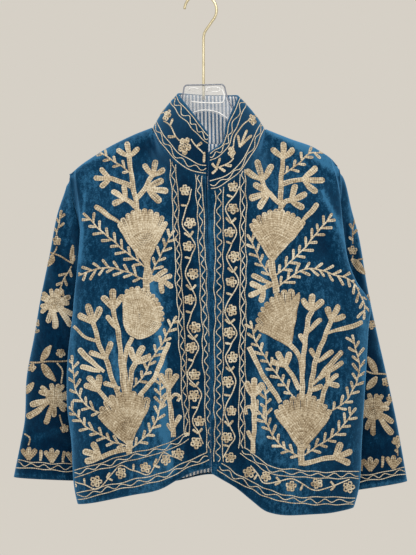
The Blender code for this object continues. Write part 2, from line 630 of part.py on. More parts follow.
def hanger(name, collection, cutters, material):
    """Flat outline extruded with an eased edge, with a bore for the hook's stem."""
    curve = bpy.data.curves.new("hanger_outline", "CURVE")
    curve.dimensions = "2D"
    curve.fill_mode = "BOTH"
    curve.extrude = HANGER_HALF_THICKNESS - HANGER_EDGE
    curve.bevel_depth = HANGER_EDGE
    curve.bevel_resolution = 1
    curve.offset = -HANGER_EDGE
    spline = curve.splines.new("POLY")
    outline = hanger_outline()
    spline.points.add(len(outline) - 1)
    for target, p in zip(spline.points, outline):
        target.co = (p[0], p[1], 0.0, 1.0)
    spline.use_cyclic_u = True
    flat = place(curve, "hanger_outline", collection, material)
    mesh = bpy.data.meshes.new_from_object(flat.evaluated_get(bpy.context.evaluated_depsgraph_get()))
    mesh.name = name
    bpy.data.objects.remove(flat, do_unlink=True)
    joined = bmesh.new()
    joined.from_mesh(mesh)
    bmesh.ops.remove_doubles(joined, verts=joined.verts, dist=0.00001)
    bmesh.ops.rotate(joined, verts=joined.verts, matrix=Matrix.Rotation(math.pi / 2, 3, "X"))
    bmesh.ops.recalc_face_normals(joined, faces=joined.faces)
    joined.to_mesh(mesh)
    joined.free()
    obj = place(mesh, name, collection, material)

    bore = bmesh.new()
    bmesh.ops.create_cone(bore, cap_ends=True, segments=12, radius1=HOOK_WIRE / 2 + SEAM_GAP,
                          radius2=HOOK_WIRE / 2 + SEAM_GAP, depth=BORE_LENGTH)
    bore_mesh = bpy.data.meshes.new("stem_bore")
    bore.to_mesh(bore_mesh)
    bore.free()
    cutter = place(bore_mesh, "stem_bore", cutters, material)
    cutter.location = (HOOK_STEM_X, 0, HOOK_STEM_END - SEAM_GAP + BORE_LENGTH / 2)
    cutter.hide_render = True
    cutter.display_type = "WIRE"
    cut = obj.modifiers.new("bore", "BOOLEAN")
    cut.operation = "DIFFERENCE"
    cut.solver = "EXACT"
    cut.object = cutter
    return obj


def main():
    for obj in list(bpy.data.objects):
        bpy.data.objects.remove(obj, do_unlink=True)
    scene = bpy.context.scene
    jacket = bpy.data.collections.new("embroidered_velvet_jacket")
    cutters = bpy.data.collections.new("cutters")
    scene.collection.children.link(jacket)
    scene.collection.children.link(cutters)

    velvet = {name: make_material("velvet_" + name, (0.010, 0.065, 0.180), 0.85, 0.0) for name in (
        "front_right", "front_left", "back", "sleeve_right", "sleeve_left", "collar")}
    right = front_grid(RIGHT)
    left = front_grid(LEFT)
    cloth("front_right", right[:, ::-1], CLOTH_WALL, jacket, velvet["front_right"])
    cloth("front_left", left, CLOTH_WALL, jacket, velvet["front_left"])
    back, roll = back_grid()
    cloth("back", back, CLOTH_WALL, jacket, velvet["back"])
    ticking = make_material("striped_cotton_back", (0.55, 0.62, 0.70), 0.8, 0.0)
    cloth("back_lining", back_lining_grid(back, roll), LINING_WALL, jacket, ticking)
    for side, rows, name in ((RIGHT, SLEEVE_RIGHT, "right"), (LEFT, SLEEVE_LEFT, "left")):
        piece = "sleeve_" + name
        cloth(piece, sleeve_grid(side, rows, name), CLOTH_WALL, jacket, velvet[piece], closed=True)

    turn = collar_turns(left, back, right)[None, :]
    up = np.linspace(0, 1, COLLAR_ROWS + 1)[:, None]
    collar = collar_point(turn, up)
    cloth("collar", collar, CLOTH_WALL, jacket, velvet["collar"])
    inside = collar - grid_normals(collar) * (CLOTH_WALL + SEAM_GAP)
    inside[0] = inside[0] + (inside[1] - inside[0]) * LINING_COLLAR_BASE
    stripes = make_material("striped_cotton_collar", (0.55, 0.62, 0.70), 0.8, 0.0)
    cloth("collar_lining", inside, LINING_WALL, jacket, stripes)

    clear = make_material("clear_plastic", (0.90, 0.92, 0.93), 0.08, 0.0)
    hanger("hanger_body", jacket, cutters, clear)
    brass = make_material("pale_brass", (0.62, 0.52, 0.28), 0.25, 1.0)
    wire("hanger_hook", hook_line(), HOOK_WIRE, jacket, brass)


main()
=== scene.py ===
"""Looks of the embroidered velvet jacket on its clear hanger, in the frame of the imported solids.

X runs to the viewer's right, Z up, and the front faces minus Y. The origin is the inside top of
the hook. Sides are the wearer's, so the right front is at negative X. Each cloth piece is a thin
shell on the same formula as its solid, with finer steps and creases; the sewing lies on it.
"""
import math
from collections import namedtuple

import bpy
import numpy as np
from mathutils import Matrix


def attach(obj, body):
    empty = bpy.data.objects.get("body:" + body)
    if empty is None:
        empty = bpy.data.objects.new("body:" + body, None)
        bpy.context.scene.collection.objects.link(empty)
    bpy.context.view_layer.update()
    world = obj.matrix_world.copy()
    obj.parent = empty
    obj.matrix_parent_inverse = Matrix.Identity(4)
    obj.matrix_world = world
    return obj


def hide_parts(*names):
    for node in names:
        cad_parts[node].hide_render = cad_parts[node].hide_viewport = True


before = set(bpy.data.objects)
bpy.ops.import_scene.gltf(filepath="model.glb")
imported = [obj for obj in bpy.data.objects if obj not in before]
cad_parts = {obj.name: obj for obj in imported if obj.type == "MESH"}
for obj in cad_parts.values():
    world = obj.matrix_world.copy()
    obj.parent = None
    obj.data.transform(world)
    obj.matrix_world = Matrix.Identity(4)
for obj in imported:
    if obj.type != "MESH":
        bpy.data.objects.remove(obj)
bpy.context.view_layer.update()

MM = 0.001

# Cloth sizes, as on the solids but with the seams closed
CLOTH_WALL = 2.2 * MM
LINING_WALL = 1.0 * MM
LINING_GAP = 0.5 * MM
SLEEVE_TUCK = 4.0 * MM
SLEEVE_BACK_TUCK = 3.0 * MM
SLEEVE_TIP_STEP = -0.2 * MM    # step of the sleeve head's top corner, and its drop from the tip
SLEEVE_HEAD_DROP = 4.0 * MM
SLEEVE_TIP_POWER = 4           # how closely the step and the drop keep to that corner
SLEEVE_DROP_POWER = 8
UNDERARM_STEP = 2.5 * MM
SHOULDER_ROUND = 10.0 * MM
SETTLE_LENGTH = 62.0 * MM
SETTLE_POWER = 1.5
FRONT_SQUARENESS = 2.8
BACK_SQUARENESS = 2.4
BACK_CROWN = 0.75
SHOULDER_SQUARENESS = 6.0      # added to the back's, from a depth below the neck level
SHOULDER_SQUARE_FROM = 140.0 * MM
SHOULDER_SQUARE_OVER = 80.0 * MM
NECK_SPREAD_FROM = 220.0 * MM  # depth where the back's columns start to lean to the neck points
NECK_SPREAD_OVER = 200.0 * MM
RETURN_FROM = 0.8              # share of a front's columns before its ridge
ROLL_FROM = 0.6
NECK_X = 12.6 * MM
NECK_HALF_WIDTH = 85.5 * MM
NECK_BACK_REACH = 30.0 * MM
NECK_BACK_DROP = 12.0 * MM
NECK_BACK_POWER = 1.5
NECK_LEVEL = -200.0 * MM
NECK_SOFT = 0.30               # rounding of the neck points, NECK_BLEND below the seam
NECK_BLEND = 30.0 * MM
COLLAR_SINK = 1.6 * MM         # collar base below the neck edge, inside it
COLLAR_INSET = 0.9 * MM
COLLAR_START = -1.0
COLLAR_END = 358.9
COLLAR_LINING_INSET = 1.3      # turn between the collar's ends and its lining's
COLLAR_SWELL = 3.5 * MM
COLLAR_LINING_TOP = 0.985      # the lining's top and, behind, how far it hangs below the seam
COLLAR_LINING_TAIL = 0.14
ARMHOLE_HALF_DEPTH = 13.0 * MM
SLEEVE_SEWN = 0.05
SLEEVE_FLATNESS = 0.75
EDGE_TOP_Z = -296.0
EDGE_BOTTOM_Z = -700.0
EDGE_MEET = 0.8 * MM

BodySection = namedtuple(
    "BodySection", "height ridge_right ridge_left turn_right turn_left ridge_y seam_y front_y back_y")
BODY = [BodySection(*row) for row in (
    (-240, -187, 194, -10, -8, -9, 0, -14, 13),
    (-255, -187, 197, -10, -8, -11, 0, -18, 15),
    (-272, -186, 202, -10, -6, -15, 1, -25, 18),
    (-300, -183, 207, -9, -1, -21, 2, -35, 23),
    (-345, -178, 211, -3, 9, -27, 3, -45, 31),
    (-400, -181, 219, 8, 15, -30, 3, -51, 36),
    (-430, -184, 231, 12, 20, -30, 3, -54, 38),
    (-457, -187, 249, 15, 30, -29, 3, -55, 40),
    (-470, -188, 252, 17, 31, -28, 3, -56, 40),
    (-495, -191, 249, 20, 27, -27, 4, -56, 41),
    (-550, -197, 246, 24, 24, -25, 5, -56, 42),
    (-600, -198, 243, 25, 24, -24, 6, -56, 43),
    (-670, -191, 239, 22, 24, -23, 6, -57, 44),
    (-735, -187, 235, 20, 22, -23, 6, -58, 44),
    (-775, -178, 224, 14, 18, -23, 6, -58, 44),
)]

FrontSize = namedtuple(
    "FrontSize",
    "sign neck_z neck_drop neck_power neck_reach edge_top edge_bottom tip_z underarm_z sleeve_step")
RIGHT = FrontSize(-1, -198.4, 75.6, 1.45, 52.0, 9.6, 15.3, -270.0, -457.0, 1.0)
LEFT = FrontSize(1, -200.7, 94.6, 1.8, 56.0, 11.2, 17.1, -256.0, -430.0, 1.9)

OutlinePoint = namedtuple("OutlinePoint", "x z")
SHOULDER_RIGHT = [OutlinePoint(*row) for row in (
    (-72.9, -198.4), (-100, -209), (-142, -230), (-158, -240), (-180, -255), (-197, -270))]
SHOULDER_LEFT = [OutlinePoint(*row) for row in (
    (98.1, -200.7), (137, -216), (168, -227), (180, -234), (197, -246), (205.5, -256))]
HEM_RIGHT = [OutlinePoint(*row) for row in (
    (16, -700), (-12, -707), (-34, -719), (-53, -729), (-94, -739), (-146, -752), (-190, -760))]
HEM_LEFT = [OutlinePoint(*row) for row in (
    (16, -708), (51, -730), (75, -749), (97, -764), (142, -769), (183, -769), (232, -763))]
HEM_BACK = [OutlinePoint(*row) for row in (
    (-190, -759), (-110, -745), (-36, -734), (15, -726), (60, -735), (130, -752), (232, -763))]

# Folds as on the solids, then the finer creases that only show here. A fold rises over the first share
# of its length, and one with an end dies away after the second.
FOLD_RISE = 0.45
FOLD_HOLD = 0.6
FOLD_RUN_ON = 1.1              # share of its length up to which a fold's line slants
Fold = namedtuple("Fold", "panel x_top z_top x_low z_low width height ends")
FOLDS = [Fold(*row) for row in (
    ("front_right", -178, -290, -170, -440, 16, 5, 1),
    ("front_right", -158, -300, -150, -470, 14, -4, 1),
    ("front_right", -62, -520, -76, -760, 22, 8, 0),
    ("front_right", -40, -480, -36, -740, 16, -6, 0),
    ("front_right", -128, -610, -140, -770, 24, -6, 0),
    ("front_left", 190, -290, 226, -440, 14, 6, 1),
    ("front_left", 168, -290, 205, -470, 16, -5, 1),
    ("front_left", 64, -640, 58, -770, 26, -10, 0),
    ("front_left", 120, -600, 130, -780, 28, 6, 0),
    ("front_left", 196, -620, 205, -780, 22, -5, 0),
    ("back", -95, -420, -110, -770, 30, 8, 0),
    ("back", -30, -470, -34, -760, 26, -7, 0),
    ("back", 66, -440, 74, -760, 30, 8, 0),
    ("back", 150, -480, 160, -780, 24, -6, 0),
)]
CREASES = [Fold(*row) for row in (
    ("front_right", -120, -240, -165, -330, 7, 1.6, 1),
    ("front_right", -176, -300, -176, -410, 4, 1.8, 1),
    ("front_right", -30, -330, -44, -470, 9, 1.2, 1),
    ("front_right", -100, -420, -96, -560, 10, -1.4, 1),
    ("front_right", -150, -500, -160, -640, 8, 1.4, 1),
    ("front_right", -18, -560, -22, -700, 7, 1.3, 0),
    ("front_left", 150, -235, 196, -340, 8, 2.0, 1),
    ("front_left", 178, -262, 222, -370, 6, -2.0, 1),
    ("front_left", 60, -340, 66, -470, 9, 1.2, 1),
    ("front_left", 130, -400, 126, -560, 11, -1.4, 1),
    ("front_left", 210, -480, 214, -640, 8, 1.5, 1),
    ("front_left", 36, -560, 34, -712, 7, 1.2, 0),
    ("back", -140, -250, -60, -420, 12, 2.4, 1),
    ("back", 160, -250, 84, -420, 12, 2.4, 1),
    ("back", 12, -300, 10, -520, 14, -2.0, 1),
    ("back", -150, -480, -160, -740, 12, 2.5, 0),
    ("back", 110, -520, 118, -750, 12, 2.2, 0),
    ("back", 12, -560, 14, -725, 14, 2.6, 0),
)]

SleeveSection = namedtuple(
    "SleeveSection", "along outer_x outer_z outer_y inner_x inner_z inner_y half_depth")
SLEEVE_RIGHT = [SleeveSection(*row) for row in (
    (0.00, -197, -270, 1, -172, -457, 3, 13),
    (0.03, -200, -280, 4, -174.5, -459, 11, 12),
    (0.07, -203.5, -292, 6, -178, -474, 20, 13),
    (0.17, -216, -328, 10, -181, -502, 25, 15),
    (0.30, -228, -388, 14, -181, -540, 27, 17),
    (0.44, -242, -454, 17, -180, -580, 28, 17),
    (0.58, -252, -512, 19, -178, -620, 28, 17),
    (0.72, -264, -576, 21, -176, -660, 28, 16),
    (0.84, -267, -640, 22, -174, -695, 27, 15),
    (0.91, -273, -674, 20, -173, -710, 26, 16),
    (1.00, -283, -725, 18, -170, -731, 24, 15),
)]
SLEEVE_LEFT = [SleeveSection(*row) for row in (
    (0.00, 205.5, -256, 1, 211, -430, 3, 13),
    (0.03, 211, -266, 4, 214.5, -432, 11, 12),
    (0.07, 217, -278, 6, 220, -449, 21, 13),
    (0.17, 227, -318, 10, 225, -482, 26, 15),
    (0.30, 240, -366, 14, 226, -520, 28, 17),
    (0.44, 252, -436, 16, 226, -560, 28, 17),
    (0.58, 267, -506, 19, 224, -602, 29, 17),
    (0.72, 281, -566, 21, 221, -645, 29, 16),
    (0.86, 298, -645, 21, 217, -695, 27, 15),
    (1.00, 313, -731, 18, 211, -748, 24, 15),
)]
SleeveCrease = namedtuple("SleeveCrease", "sleeve along slant around spread width depth")
SLEEVE_CREASES = [SleeveCrease(*row) for row in (
    ("right", 0.86, 0.03, 90, 120, 0.045, 5),
    ("right", 0.42, -0.05, 60, 90, 0.06, 4),
    ("right", 0.20, 0.06, 90, 90, 0.05, 4),
    ("left", 0.60, 0.05, 80, 90, 0.06, 4),
    ("left", 0.80, -0.04, 100, 110, 0.05, 4),
    ("left", 0.24, -0.05, 60, 80, 0.05, 4),
    ("right", 0.90, 0.02, 70, 60, 0.012, 1.6),
    ("right", 0.33, 0.10, 100, 70, 0.018, 1.6),
    ("right", 0.62, -0.06, 80, 60, 0.016, 1.3),
    ("left", 0.37, 0.08, 90, 70, 0.018, 1.6),
    ("left", 0.70, 0.06, 70, 60, 0.015, 1.4),
    ("left", 0.90, -0.03, 90, 60, 0.014, 1.5),
)]

CollarTop = namedtuple("CollarTop", "turn x y z")
COLLAR_TOP = [CollarTop(*row) for row in (
    (-1, 11.7, -47, -240),
    (30, 33, -41, -223),
    (58, 38, -28, -197),
    (92, 57, 0, -151),
    (135, 42, 18, -147),
    (180, 12, 24, -146),
    (225, -18, 18, -145),
    (268, -34, 0, -147),
    (315, -11, -29, -180),
    (358, 12.3, -42, -212),
)]

# Chart: squares as on squared paper laid over the front, columns from the left and rows down
CHART_PITCH = 1.5 * MM         # one square at the hanger's depth
CHART_COLUMN = 208.0           # column at the camera's middle
CHART_ROW = 277.5
CAMERA_X = 11.25 * MM
CAMERA_Z = -423.3 * MM
CAMERA_AWAY = 1.8

# Strokes of painted highlight on the pile, and of painted shade where the amount is minus, in chart squares
LightShadeStroke = namedtuple("LightShadeStroke", "panel column_1 row_1 column_2 row_2 width amount")
LIGHT_AND_SHADE_STROKES = [LightShadeStroke(*row) for row in (
    ("front_right", 150, 277, 158, 318, 5, 0.45),
    ("front_right", 158, 318, 165, 430, 5, 0.55),
    ("front_right", 165, 430, 170, 472, 5, 0.45),
    ("front_right", 85, 190, 80, 262, 1.7, 0.32),
    ("front_right", 74, 300, 71, 485, 2.4, 0.26),
    ("front_right", 158, 131, 74, 167, 3.2, 0.24),
    ("front_right", 82, 180, 100, 176, 6, 0.14),
    ("front_right", 75, 181, 79, 200, 3, -0.25),
    ("front_right", 80, 499, 130, 500, 5, 0.15),
    ("front_right", 112, 339, 118, 381, 4, 0.40),
    ("front_right", 183, 185, 186, 300, 9, -0.35),
    ("front_right", 186, 300, 192, 455, 10, -0.32),
    ("front_right", 150, 147, 178, 168, 9, -0.30),
    ("front_left", 262, 125, 300, 144, 4, 0.60),
    ("front_left", 300, 144, 338, 170, 4.5, 0.65),
    ("front_left", 312, 188, 324, 202, 6, 0.14),
    ("front_left", 323, 192, 342, 232, 1.8, 0.42),
    ("front_left", 330, 192, 340, 214, 3, -0.20),
    ("front_left", 342, 232, 367, 312, 1.8, 0.32),
    ("front_left", 364, 318, 363, 378, 4, 0.35),
    ("front_left", 236, 185, 237, 452, 10, -0.32),
    ("front_left", 211, 222, 213, 285, 2.2, 0.30),
    ("front_left", 214, 343, 214, 418, 2.5, 0.22),
    ("front_left", 264, 260, 262, 443, 4, 0.28),
    ("front_left", 320, 239, 322, 246, 9, -0.25),
    ("sleeve_right", 45, 447, 67, 431, 1.6, -0.35),
    ("sleeve_right", 30, 438, 62, 431, 4, 0.22),
    ("sleeve_right", 14, 474, 72, 478, 3, 0.32),
    ("sleeve_right", 70, 190, 67, 250, 6, 0.22),
    ("sleeve_left", 366, 442, 388, 440, 5, 0.20),
    ("sleeve_left", 358, 488, 407, 482, 4.5, 0.50),
    ("sleeve_left", 348, 205, 357, 245, 4, 0.30),
    ("sleeve_left", 376, 345, 386, 372, 3.5, 0.30),
)]

# Hook and clear hanger
HOOK_WIRE = 4.0 * MM
HOOK_RADIUS = 24.0 * MM
HOOK_STEM_X = 4.5
HOOK_STEM_END = -157.0
HOOK_TIP = 176.0
HOOK_BEND_END = -42.0
HOOK_BEND_STEPS = 60
HOOK_STEM_STEPS = 12
HOOK_LOW = [OutlinePoint(*row) for row in ((12.8, -45.5), (8.5, -51.5), (5.6, -57), (4.5, -64))]

# Clear plate: its rim, in painted shade, and its ribs, in painted highlight, as places across and up in
# millimetres
PLATE_FRONT = -3.4 * MM
RIM_RADIUS = 1.1 * MM
RIB_RADIUS = 0.9 * MM
PLATE_RIM = (
    (-46, -191), (-32, -167), (-27, -153), (-24.2, -137.5), (-21.5, -135.3), (6, -134.8), (33, -134.3),
    (35.7, -136.8), (40, -153), (47, -168), (60, -190))
PLATE_RIBS = (
    ((-28, -187), (-10, -176), (7, -172.5), (26, -176), (45, -188)),
    ((-14, -160), (8, -161.5), (30, -161.5), (35, -158), (35.5, -150), (32, -141)),
    ((-17, -143.5), (-16, -140), (-8, -139.5), (-3, -141)),
    ((10, -145), (9, -140.5), (14, -138.5), (26, -138.5), (29.5, -141), (27, -144.5), (16, -145.5)),
)

# Mesh steps of the shells
COLUMN_ROUNDS = 40             # rounds that find where a column meets its top edge and hem
NECK_STEPS = 30
SHOULDER_STEPS = 26
SHOULDER_SPACING = 1.5         # over 1, columns lie closer towards the ridge
RETURN_STEPS = 10
ROWS_BELOW_TOP = (0.0, 0.0004, 0.0012, 0.0024, 0.004, 0.006, 0.009)
ROWS_DOWN = 110
SLEEVE_TURNS = 72
SLEEVE_HEAD = (0.0, 0.012, 0.03, 0.048, 0.065)
SLEEVE_FROM = 0.08
SLEEVE_ROWS = 96
COLLAR_ROWS = 14
COLLAR_COLUMNS = 180
BACK_NECK_STEPS = 30
BACK_SIDE_STEPS = 26
BACK_SIDE_SPACING = 0.85
EDGE_NEAR = (0.0028, 0.0019, 0.0011, 0.0005)
EDGE_ROLL = 1.6 * MM           # how far cut edges turn in, over EDGE_SOFT
EDGE_SOFT = 3.5 * MM
LINING_HEM = 3                 # rows and columns of the back that its lining stops short of
LINING_SIDE = 2
FACING_ROWS = 8                # velvet turned to the inside at the front edges and the armholes

# Tone of the velvet, from 0 for dark to 1 for light, which carries its painted light and shade
PLAIN_TONE = 0.5
SLEEVE_SHADE = 0.38             # the sleeves are in painted shade, deeper still below the elbow,
ELBOW_SHADE = 0.16
ELBOW_FROM = 0.15
ELBOW_OVER = 0.35
OUTER_HIGHLIGHT = 0.30              # and a painted highlight along the outer edge
OUTER_POWER = 6
COLLAR_SHADE = 0.42             # painted shade along the collar's middle
COLLAR_SHADE_WIDTH = 0.32
FOLD_LIGHT_STEP = 50.0 * MM          # fold height for a whole step of tone: painted light on the folds, painted shade between them


def smooth_through(keys, values):
    """Curve through table rows that never overshoots them, and holds its end values."""
    order = np.argsort(keys)
    k = np.asarray(keys, float)[order]
    v = np.asarray(values, float)[order]
    step = np.diff(k)
    slope = np.diff(v) / step
    tangent = np.concatenate([slope[:1], 0.5 * (slope[:-1] + slope[1:]), slope[-1:]])
    inner = slope[:-1] * slope[1:]
    limit = 3.0 * np.minimum(np.abs(slope[:-1]), np.abs(slope[1:]))
    tangent[1:-1] = np.where(inner <= 0, 0.0, np.clip(tangent[1:-1], -limit, limit))

    def at(x):
        """The cubic of the span that holds x, by its end values and slopes."""
        x = np.clip(np.asarray(x, float), k[0], k[-1])
        i = np.clip(np.searchsorted(k, x, side="right") - 1, 0, len(k) - 2)
        h = step[i]
        f = (x - k[i]) / h
        start = v[i] * (1 + 2 * f) * (1 - f) ** 2 + tangent[i] * h * f * (1 - f) ** 2
        return start + v[i + 1] * f * f * (3 - 2 * f) - tangent[i + 1] * h * f * f * (1 - f)

    return at


def column(rows, key, name):
    """One column of a table in millimetres as a curve in metres."""
    keys = [getattr(row, key) for row in rows]
    scale = MM if key in ("height", "x") else 1.0
    return smooth_through(np.array(keys) * scale, np.array([getattr(row, name) for row in rows]) * MM)


def ease(f):
    """Smooth step from 0 to 1."""
    f = np.clip(f, 0.0, 1.0)
    return f * f * (3 - 2 * f)


body_curve = {name: column(BODY, "height", name) for name in BodySection._fields[1:]}
shoulder_right = column(SHOULDER_RIGHT, "x", "z")
shoulder_left = column(SHOULDER_LEFT, "x", "z")
hem_right = column(HEM_RIGHT, "x", "z")
hem_left = column(HEM_LEFT, "x", "z")
hem_back = column(HEM_BACK, "x", "z")
collar_top = {name: column(COLLAR_TOP, "turn", name) for name in ("x", "y", "z")}


def ridge_x(side, z):
    """Where a front turns at the side."""
    return body_curve["ridge_right" if side.sign < 0 else "ridge_left"](z)


def seam_x(side, z):
    """Side seam and armhole line, inside the ridge by the turn."""
    turn = body_curve["turn_right" if side.sign < 0 else "turn_left"](z)
    return ridge_x(side, z) - side.sign * turn


def centre_edge_x(side, z):
    """Centre-front edge, a straight line."""
    f = (np.asarray(z) - EDGE_TOP_Z * MM) / ((EDGE_BOTTOM_Z - EDGE_TOP_Z) * MM)
    return (side.edge_top + (side.edge_bottom - side.edge_top) * f) * MM - side.sign * EDGE_MEET


def armhole_open(side, z):
    """Half the armhole's width at a height, the same curve as the sleeve's first section."""
    middle = 0.5 * (side.tip_z + side.underarm_z) * MM
    half = 0.5 * (side.tip_z - side.underarm_z) * MM
    c = np.clip(np.abs((np.asarray(z) - middle) / half), 0.0, 1.0) ** (1 / SLEEVE_FLATNESS)
    return ARMHOLE_HALF_DEPTH * np.sqrt(1 - c * c) ** SLEEVE_FLATNESS


def neck_cosine(x, soft=0.0):
    """Cosine of the turn round the neck at a place across it, fading out past it where soft."""
    v = 1 - ((np.asarray(x) - NECK_X) / NECK_HALF_WIDTH) ** 2
    return np.sqrt(np.clip(0.5 * (v + np.sqrt(v * v + soft * soft)), 0.0, 1.0))


def softness(below):
    """How soft the neck points are at a depth below the top edge."""
    return NECK_SOFT * ease(below / NECK_BLEND)


def front_top(side, x, soft=0.0):
    """Height, depth and roll of a front's top edge: the neck, then the shoulder seam."""
    c = neck_cosine(x, soft)
    in_neck = side.sign * (x - NECK_X) < NECK_HALF_WIDTH
    shoulder = shoulder_right(x) if side.sign < 0 else shoulder_left(x)
    z = np.where(in_neck, side.neck_z * MM, shoulder) - side.neck_drop * MM * c ** side.neck_power
    return z, -side.neck_reach * MM * c, ease((ROLL_FROM - c) / ROLL_FROM)


def back_top(x, soft=0.0):
    """The same for the back, across both shoulders."""
    c = neck_cosine(x, soft)
    in_neck = np.abs(x - NECK_X) < NECK_HALF_WIDTH
    f = np.clip((x - NECK_X) / NECK_HALF_WIDTH * 0.5 + 0.5, 0, 1)
    level = (RIGHT.neck_z + (LEFT.neck_z - RIGHT.neck_z) * f) * MM
    level = np.where(in_neck, level, np.where(x < NECK_X, shoulder_right(x), shoulder_left(x)))
    z = level - NECK_BACK_DROP * c ** NECK_BACK_POWER
    return z, NECK_BACK_REACH * c, ease((ROLL_FROM - c) / ROLL_FROM)


def hang(top_y, free_y, below, roll):
    """Depth of cloth below its top edge: it rolls over the arm, then settles to its free depth."""
    full = free_y - top_y
    rolled = np.sign(full) * np.minimum(np.abs(full), SHOULDER_ROUND) * roll
    quarter = np.sqrt(1 - (1 - np.clip(below / SHOULDER_ROUND, 0, 1)) ** 2)
    settled = 1 - np.exp(-(below / SETTLE_LENGTH) ** SETTLE_POWER)
    return top_y + rolled * quarter + (full - rolled) * settled


def fold_height(panel, x, z):
    """Sum of a panel's folds and creases: a bell across each line, faded in from its upper end."""
    total = np.zeros_like(x)
    for fold in FOLDS + CREASES:
        if fold.panel == panel:
            k = (fold.z_top * MM - z) / ((fold.z_top - fold.z_low) * MM)
            line = (fold.x_top + (fold.x_low - fold.x_top) * np.clip(k, 0, FOLD_RUN_ON)) * MM
            bell = np.exp(-((x - line) / (fold.width * MM)) ** 2)
            fade = ease(k / FOLD_RISE) * (1 - fold.ends * ease((k - FOLD_HOLD) / (1 - FOLD_HOLD)))
            total = total + fold.height * MM * bell * fade
    return total


def front_x(side, s, z):
    """Across a front: s up to RETURN_FROM runs to the ridge, the rest turns back to the seam."""
    edge = centre_edge_x(side, z)
    f = np.clip(s / RETURN_FROM, 0, 1)
    q = np.clip((s - RETURN_FROM) / (1 - RETURN_FROM), 0, 1) * math.pi / 2
    ridge = ridge_x(side, z)
    return edge + (ridge - edge) * f + (seam_x(side, z) - ridge) * (1 - np.cos(q))


def front_y(side, s, x, z, top):
    """Depth of a front: from the ridge a crown swells to the centre, less its folds, and a quarter
    round turns back to the seam. It hangs from the top edge."""
    top_z, top_y, roll = top
    f = np.clip(s / RETURN_FROM, 0, 1)
    q = np.clip((s - RETURN_FROM) / (1 - RETURN_FROM), 0, 1) * math.pi / 2
    crown = np.sqrt(np.clip(1 - f ** FRONT_SQUARENESS, 0, 1))
    ridge_y = body_curve["ridge_y"](z)
    end_y = body_curve["seam_y"](z) - armhole_open(side, z)
    free = ridge_y + (body_curve["front_y"](z) - ridge_y) * crown + (end_y - ridge_y) * np.sin(q)
    name = "front_right" if side.sign < 0 else "front_left"
    free = free - fold_height(name, x, z) * crown
    return hang(top_y, free, np.maximum(top_z - z, 0), roll)


def front_columns_top(side, s):
    """Top and hem heights of a front's columns, found by going up and down each one."""
    top_z = np.full_like(s, side.neck_z * MM)
    low_z = np.full_like(s, EDGE_BOTTOM_Z * MM)
    hem = hem_right if side.sign < 0 else hem_left
    for _ in range(COLUMN_ROUNDS):
        top_z = 0.5 * top_z + 0.5 * front_top(side, front_x(side, s, top_z))[0]
        low_z = hem(front_x(side, s, low_z))
    return top_z, low_z


def rows_between(top_z, low_z):
    """Row heights down each column, close together just below the top edge."""
    near = np.array(ROWS_BELOW_TOP)[:, None]
    first = top_z - near[-1]
    rest = np.linspace(0, 1, ROWS_DOWN + 1)[1:-1, None]
    return np.concatenate([top_z - near, first + (low_z - first) * rest,
                           low_z + np.array(EDGE_NEAR)[:, None], low_z[None]])


def rolled(distance):
    """How far cloth turns in at a distance from its cut edge."""
    return EDGE_ROLL * (1 - np.clip(distance / EDGE_SOFT, 0, 1)) ** 2


def front_grid(side):
    """Points of a front: columns from centre edge to seam, rows from hem to top."""
    neck_x = NECK_X + side.sign * NECK_HALF_WIDTH
    edge = centre_edge_x(side, side.neck_z * MM)
    neck_s = RETURN_FROM * (neck_x - edge) / (ridge_x(side, side.neck_z * MM) - edge)
    start = np.clip((edge - NECK_X) / NECK_HALF_WIDTH * side.sign, -1, 1)
    turns = np.sin(np.linspace(0, math.pi / 2, NECK_STEPS + 1))
    turns[0] = start
    near = neck_s * (turns - start) / (1 - start)
    beside = np.array(EDGE_NEAR[::-1]) * RETURN_FROM / abs(ridge_x(side, EDGE_BOTTOM_Z * MM) - edge)
    near = np.concatenate([near[:1], beside, near[1:]])
    out = neck_s + (RETURN_FROM - neck_s) * (
        1 - (1 - np.linspace(0, 1, SHOULDER_STEPS + 1)) ** SHOULDER_SPACING)
    turn = np.linspace(RETURN_FROM, 1, RETURN_STEPS + 1)
    s = np.concatenate([near, out[1:], turn[1:]])
    top_z, low_z = front_columns_top(side, s)
    z = rows_between(top_z, low_z)
    s = np.broadcast_to(s, z.shape)
    x = front_x(side, s, z)
    x_top = np.broadcast_to(front_x(side, s[0], top_z), z.shape)
    y = front_y(side, s, x, z, front_top(side, x_top, softness(top_z - z)))
    y = y + rolled(np.abs(x - centre_edge_x(side, z))) + rolled(z - low_z)
    return np.stack([x, y, z], -1)[::-1]


def back_free(x, z):
    """Depth at which the back hangs free: a squared crown between the seams, with its folds."""
    right = seam_x(RIGHT, z)
    left = seam_x(LEFT, z)
    across = np.clip(np.abs((x - 0.5 * (left + right)) / (0.5 * (left - right))), 0, 1)
    opened = np.where(x < NECK_X, armhole_open(RIGHT, z), armhole_open(LEFT, z))
    end_y = body_curve["seam_y"](z) + opened
    square = BACK_SQUARENESS + SHOULDER_SQUARENESS * ease(
        (z - NECK_LEVEL + SHOULDER_SQUARE_FROM) / SHOULDER_SQUARE_OVER)
    crown = np.clip(1 - across ** square, 0, 1) ** BACK_CROWN
    deep = np.maximum(body_curve["back_y"](z), end_y) - end_y + fold_height("back", x, z)
    return end_y + deep * crown


def back_neck_share():
    """Share of the back's half width that the neck takes."""
    return NECK_HALF_WIDTH / (0.5 * (seam_x(LEFT, NECK_LEVEL) - seam_x(RIGHT, NECK_LEVEL)))


def back_x(share, z):
    """Across the back: evenly between the seams, and by the neck points near the top."""
    left = seam_x(LEFT, z)
    right = seam_x(RIGHT, z)
    even = 0.5 * (left + right) + share * 0.5 * (left - right)
    neck = back_neck_share()
    beyond = np.clip((np.abs(share) - neck) / (1 - neck), 0, 1)
    point = NECK_X + np.clip(share / neck, -1, 1) * NECK_HALF_WIDTH
    by_neck = point + (np.where(share > 0, left, right) - point) * beyond
    return even + (by_neck - even) * ease((z - NECK_LEVEL + NECK_SPREAD_FROM) / NECK_SPREAD_OVER)


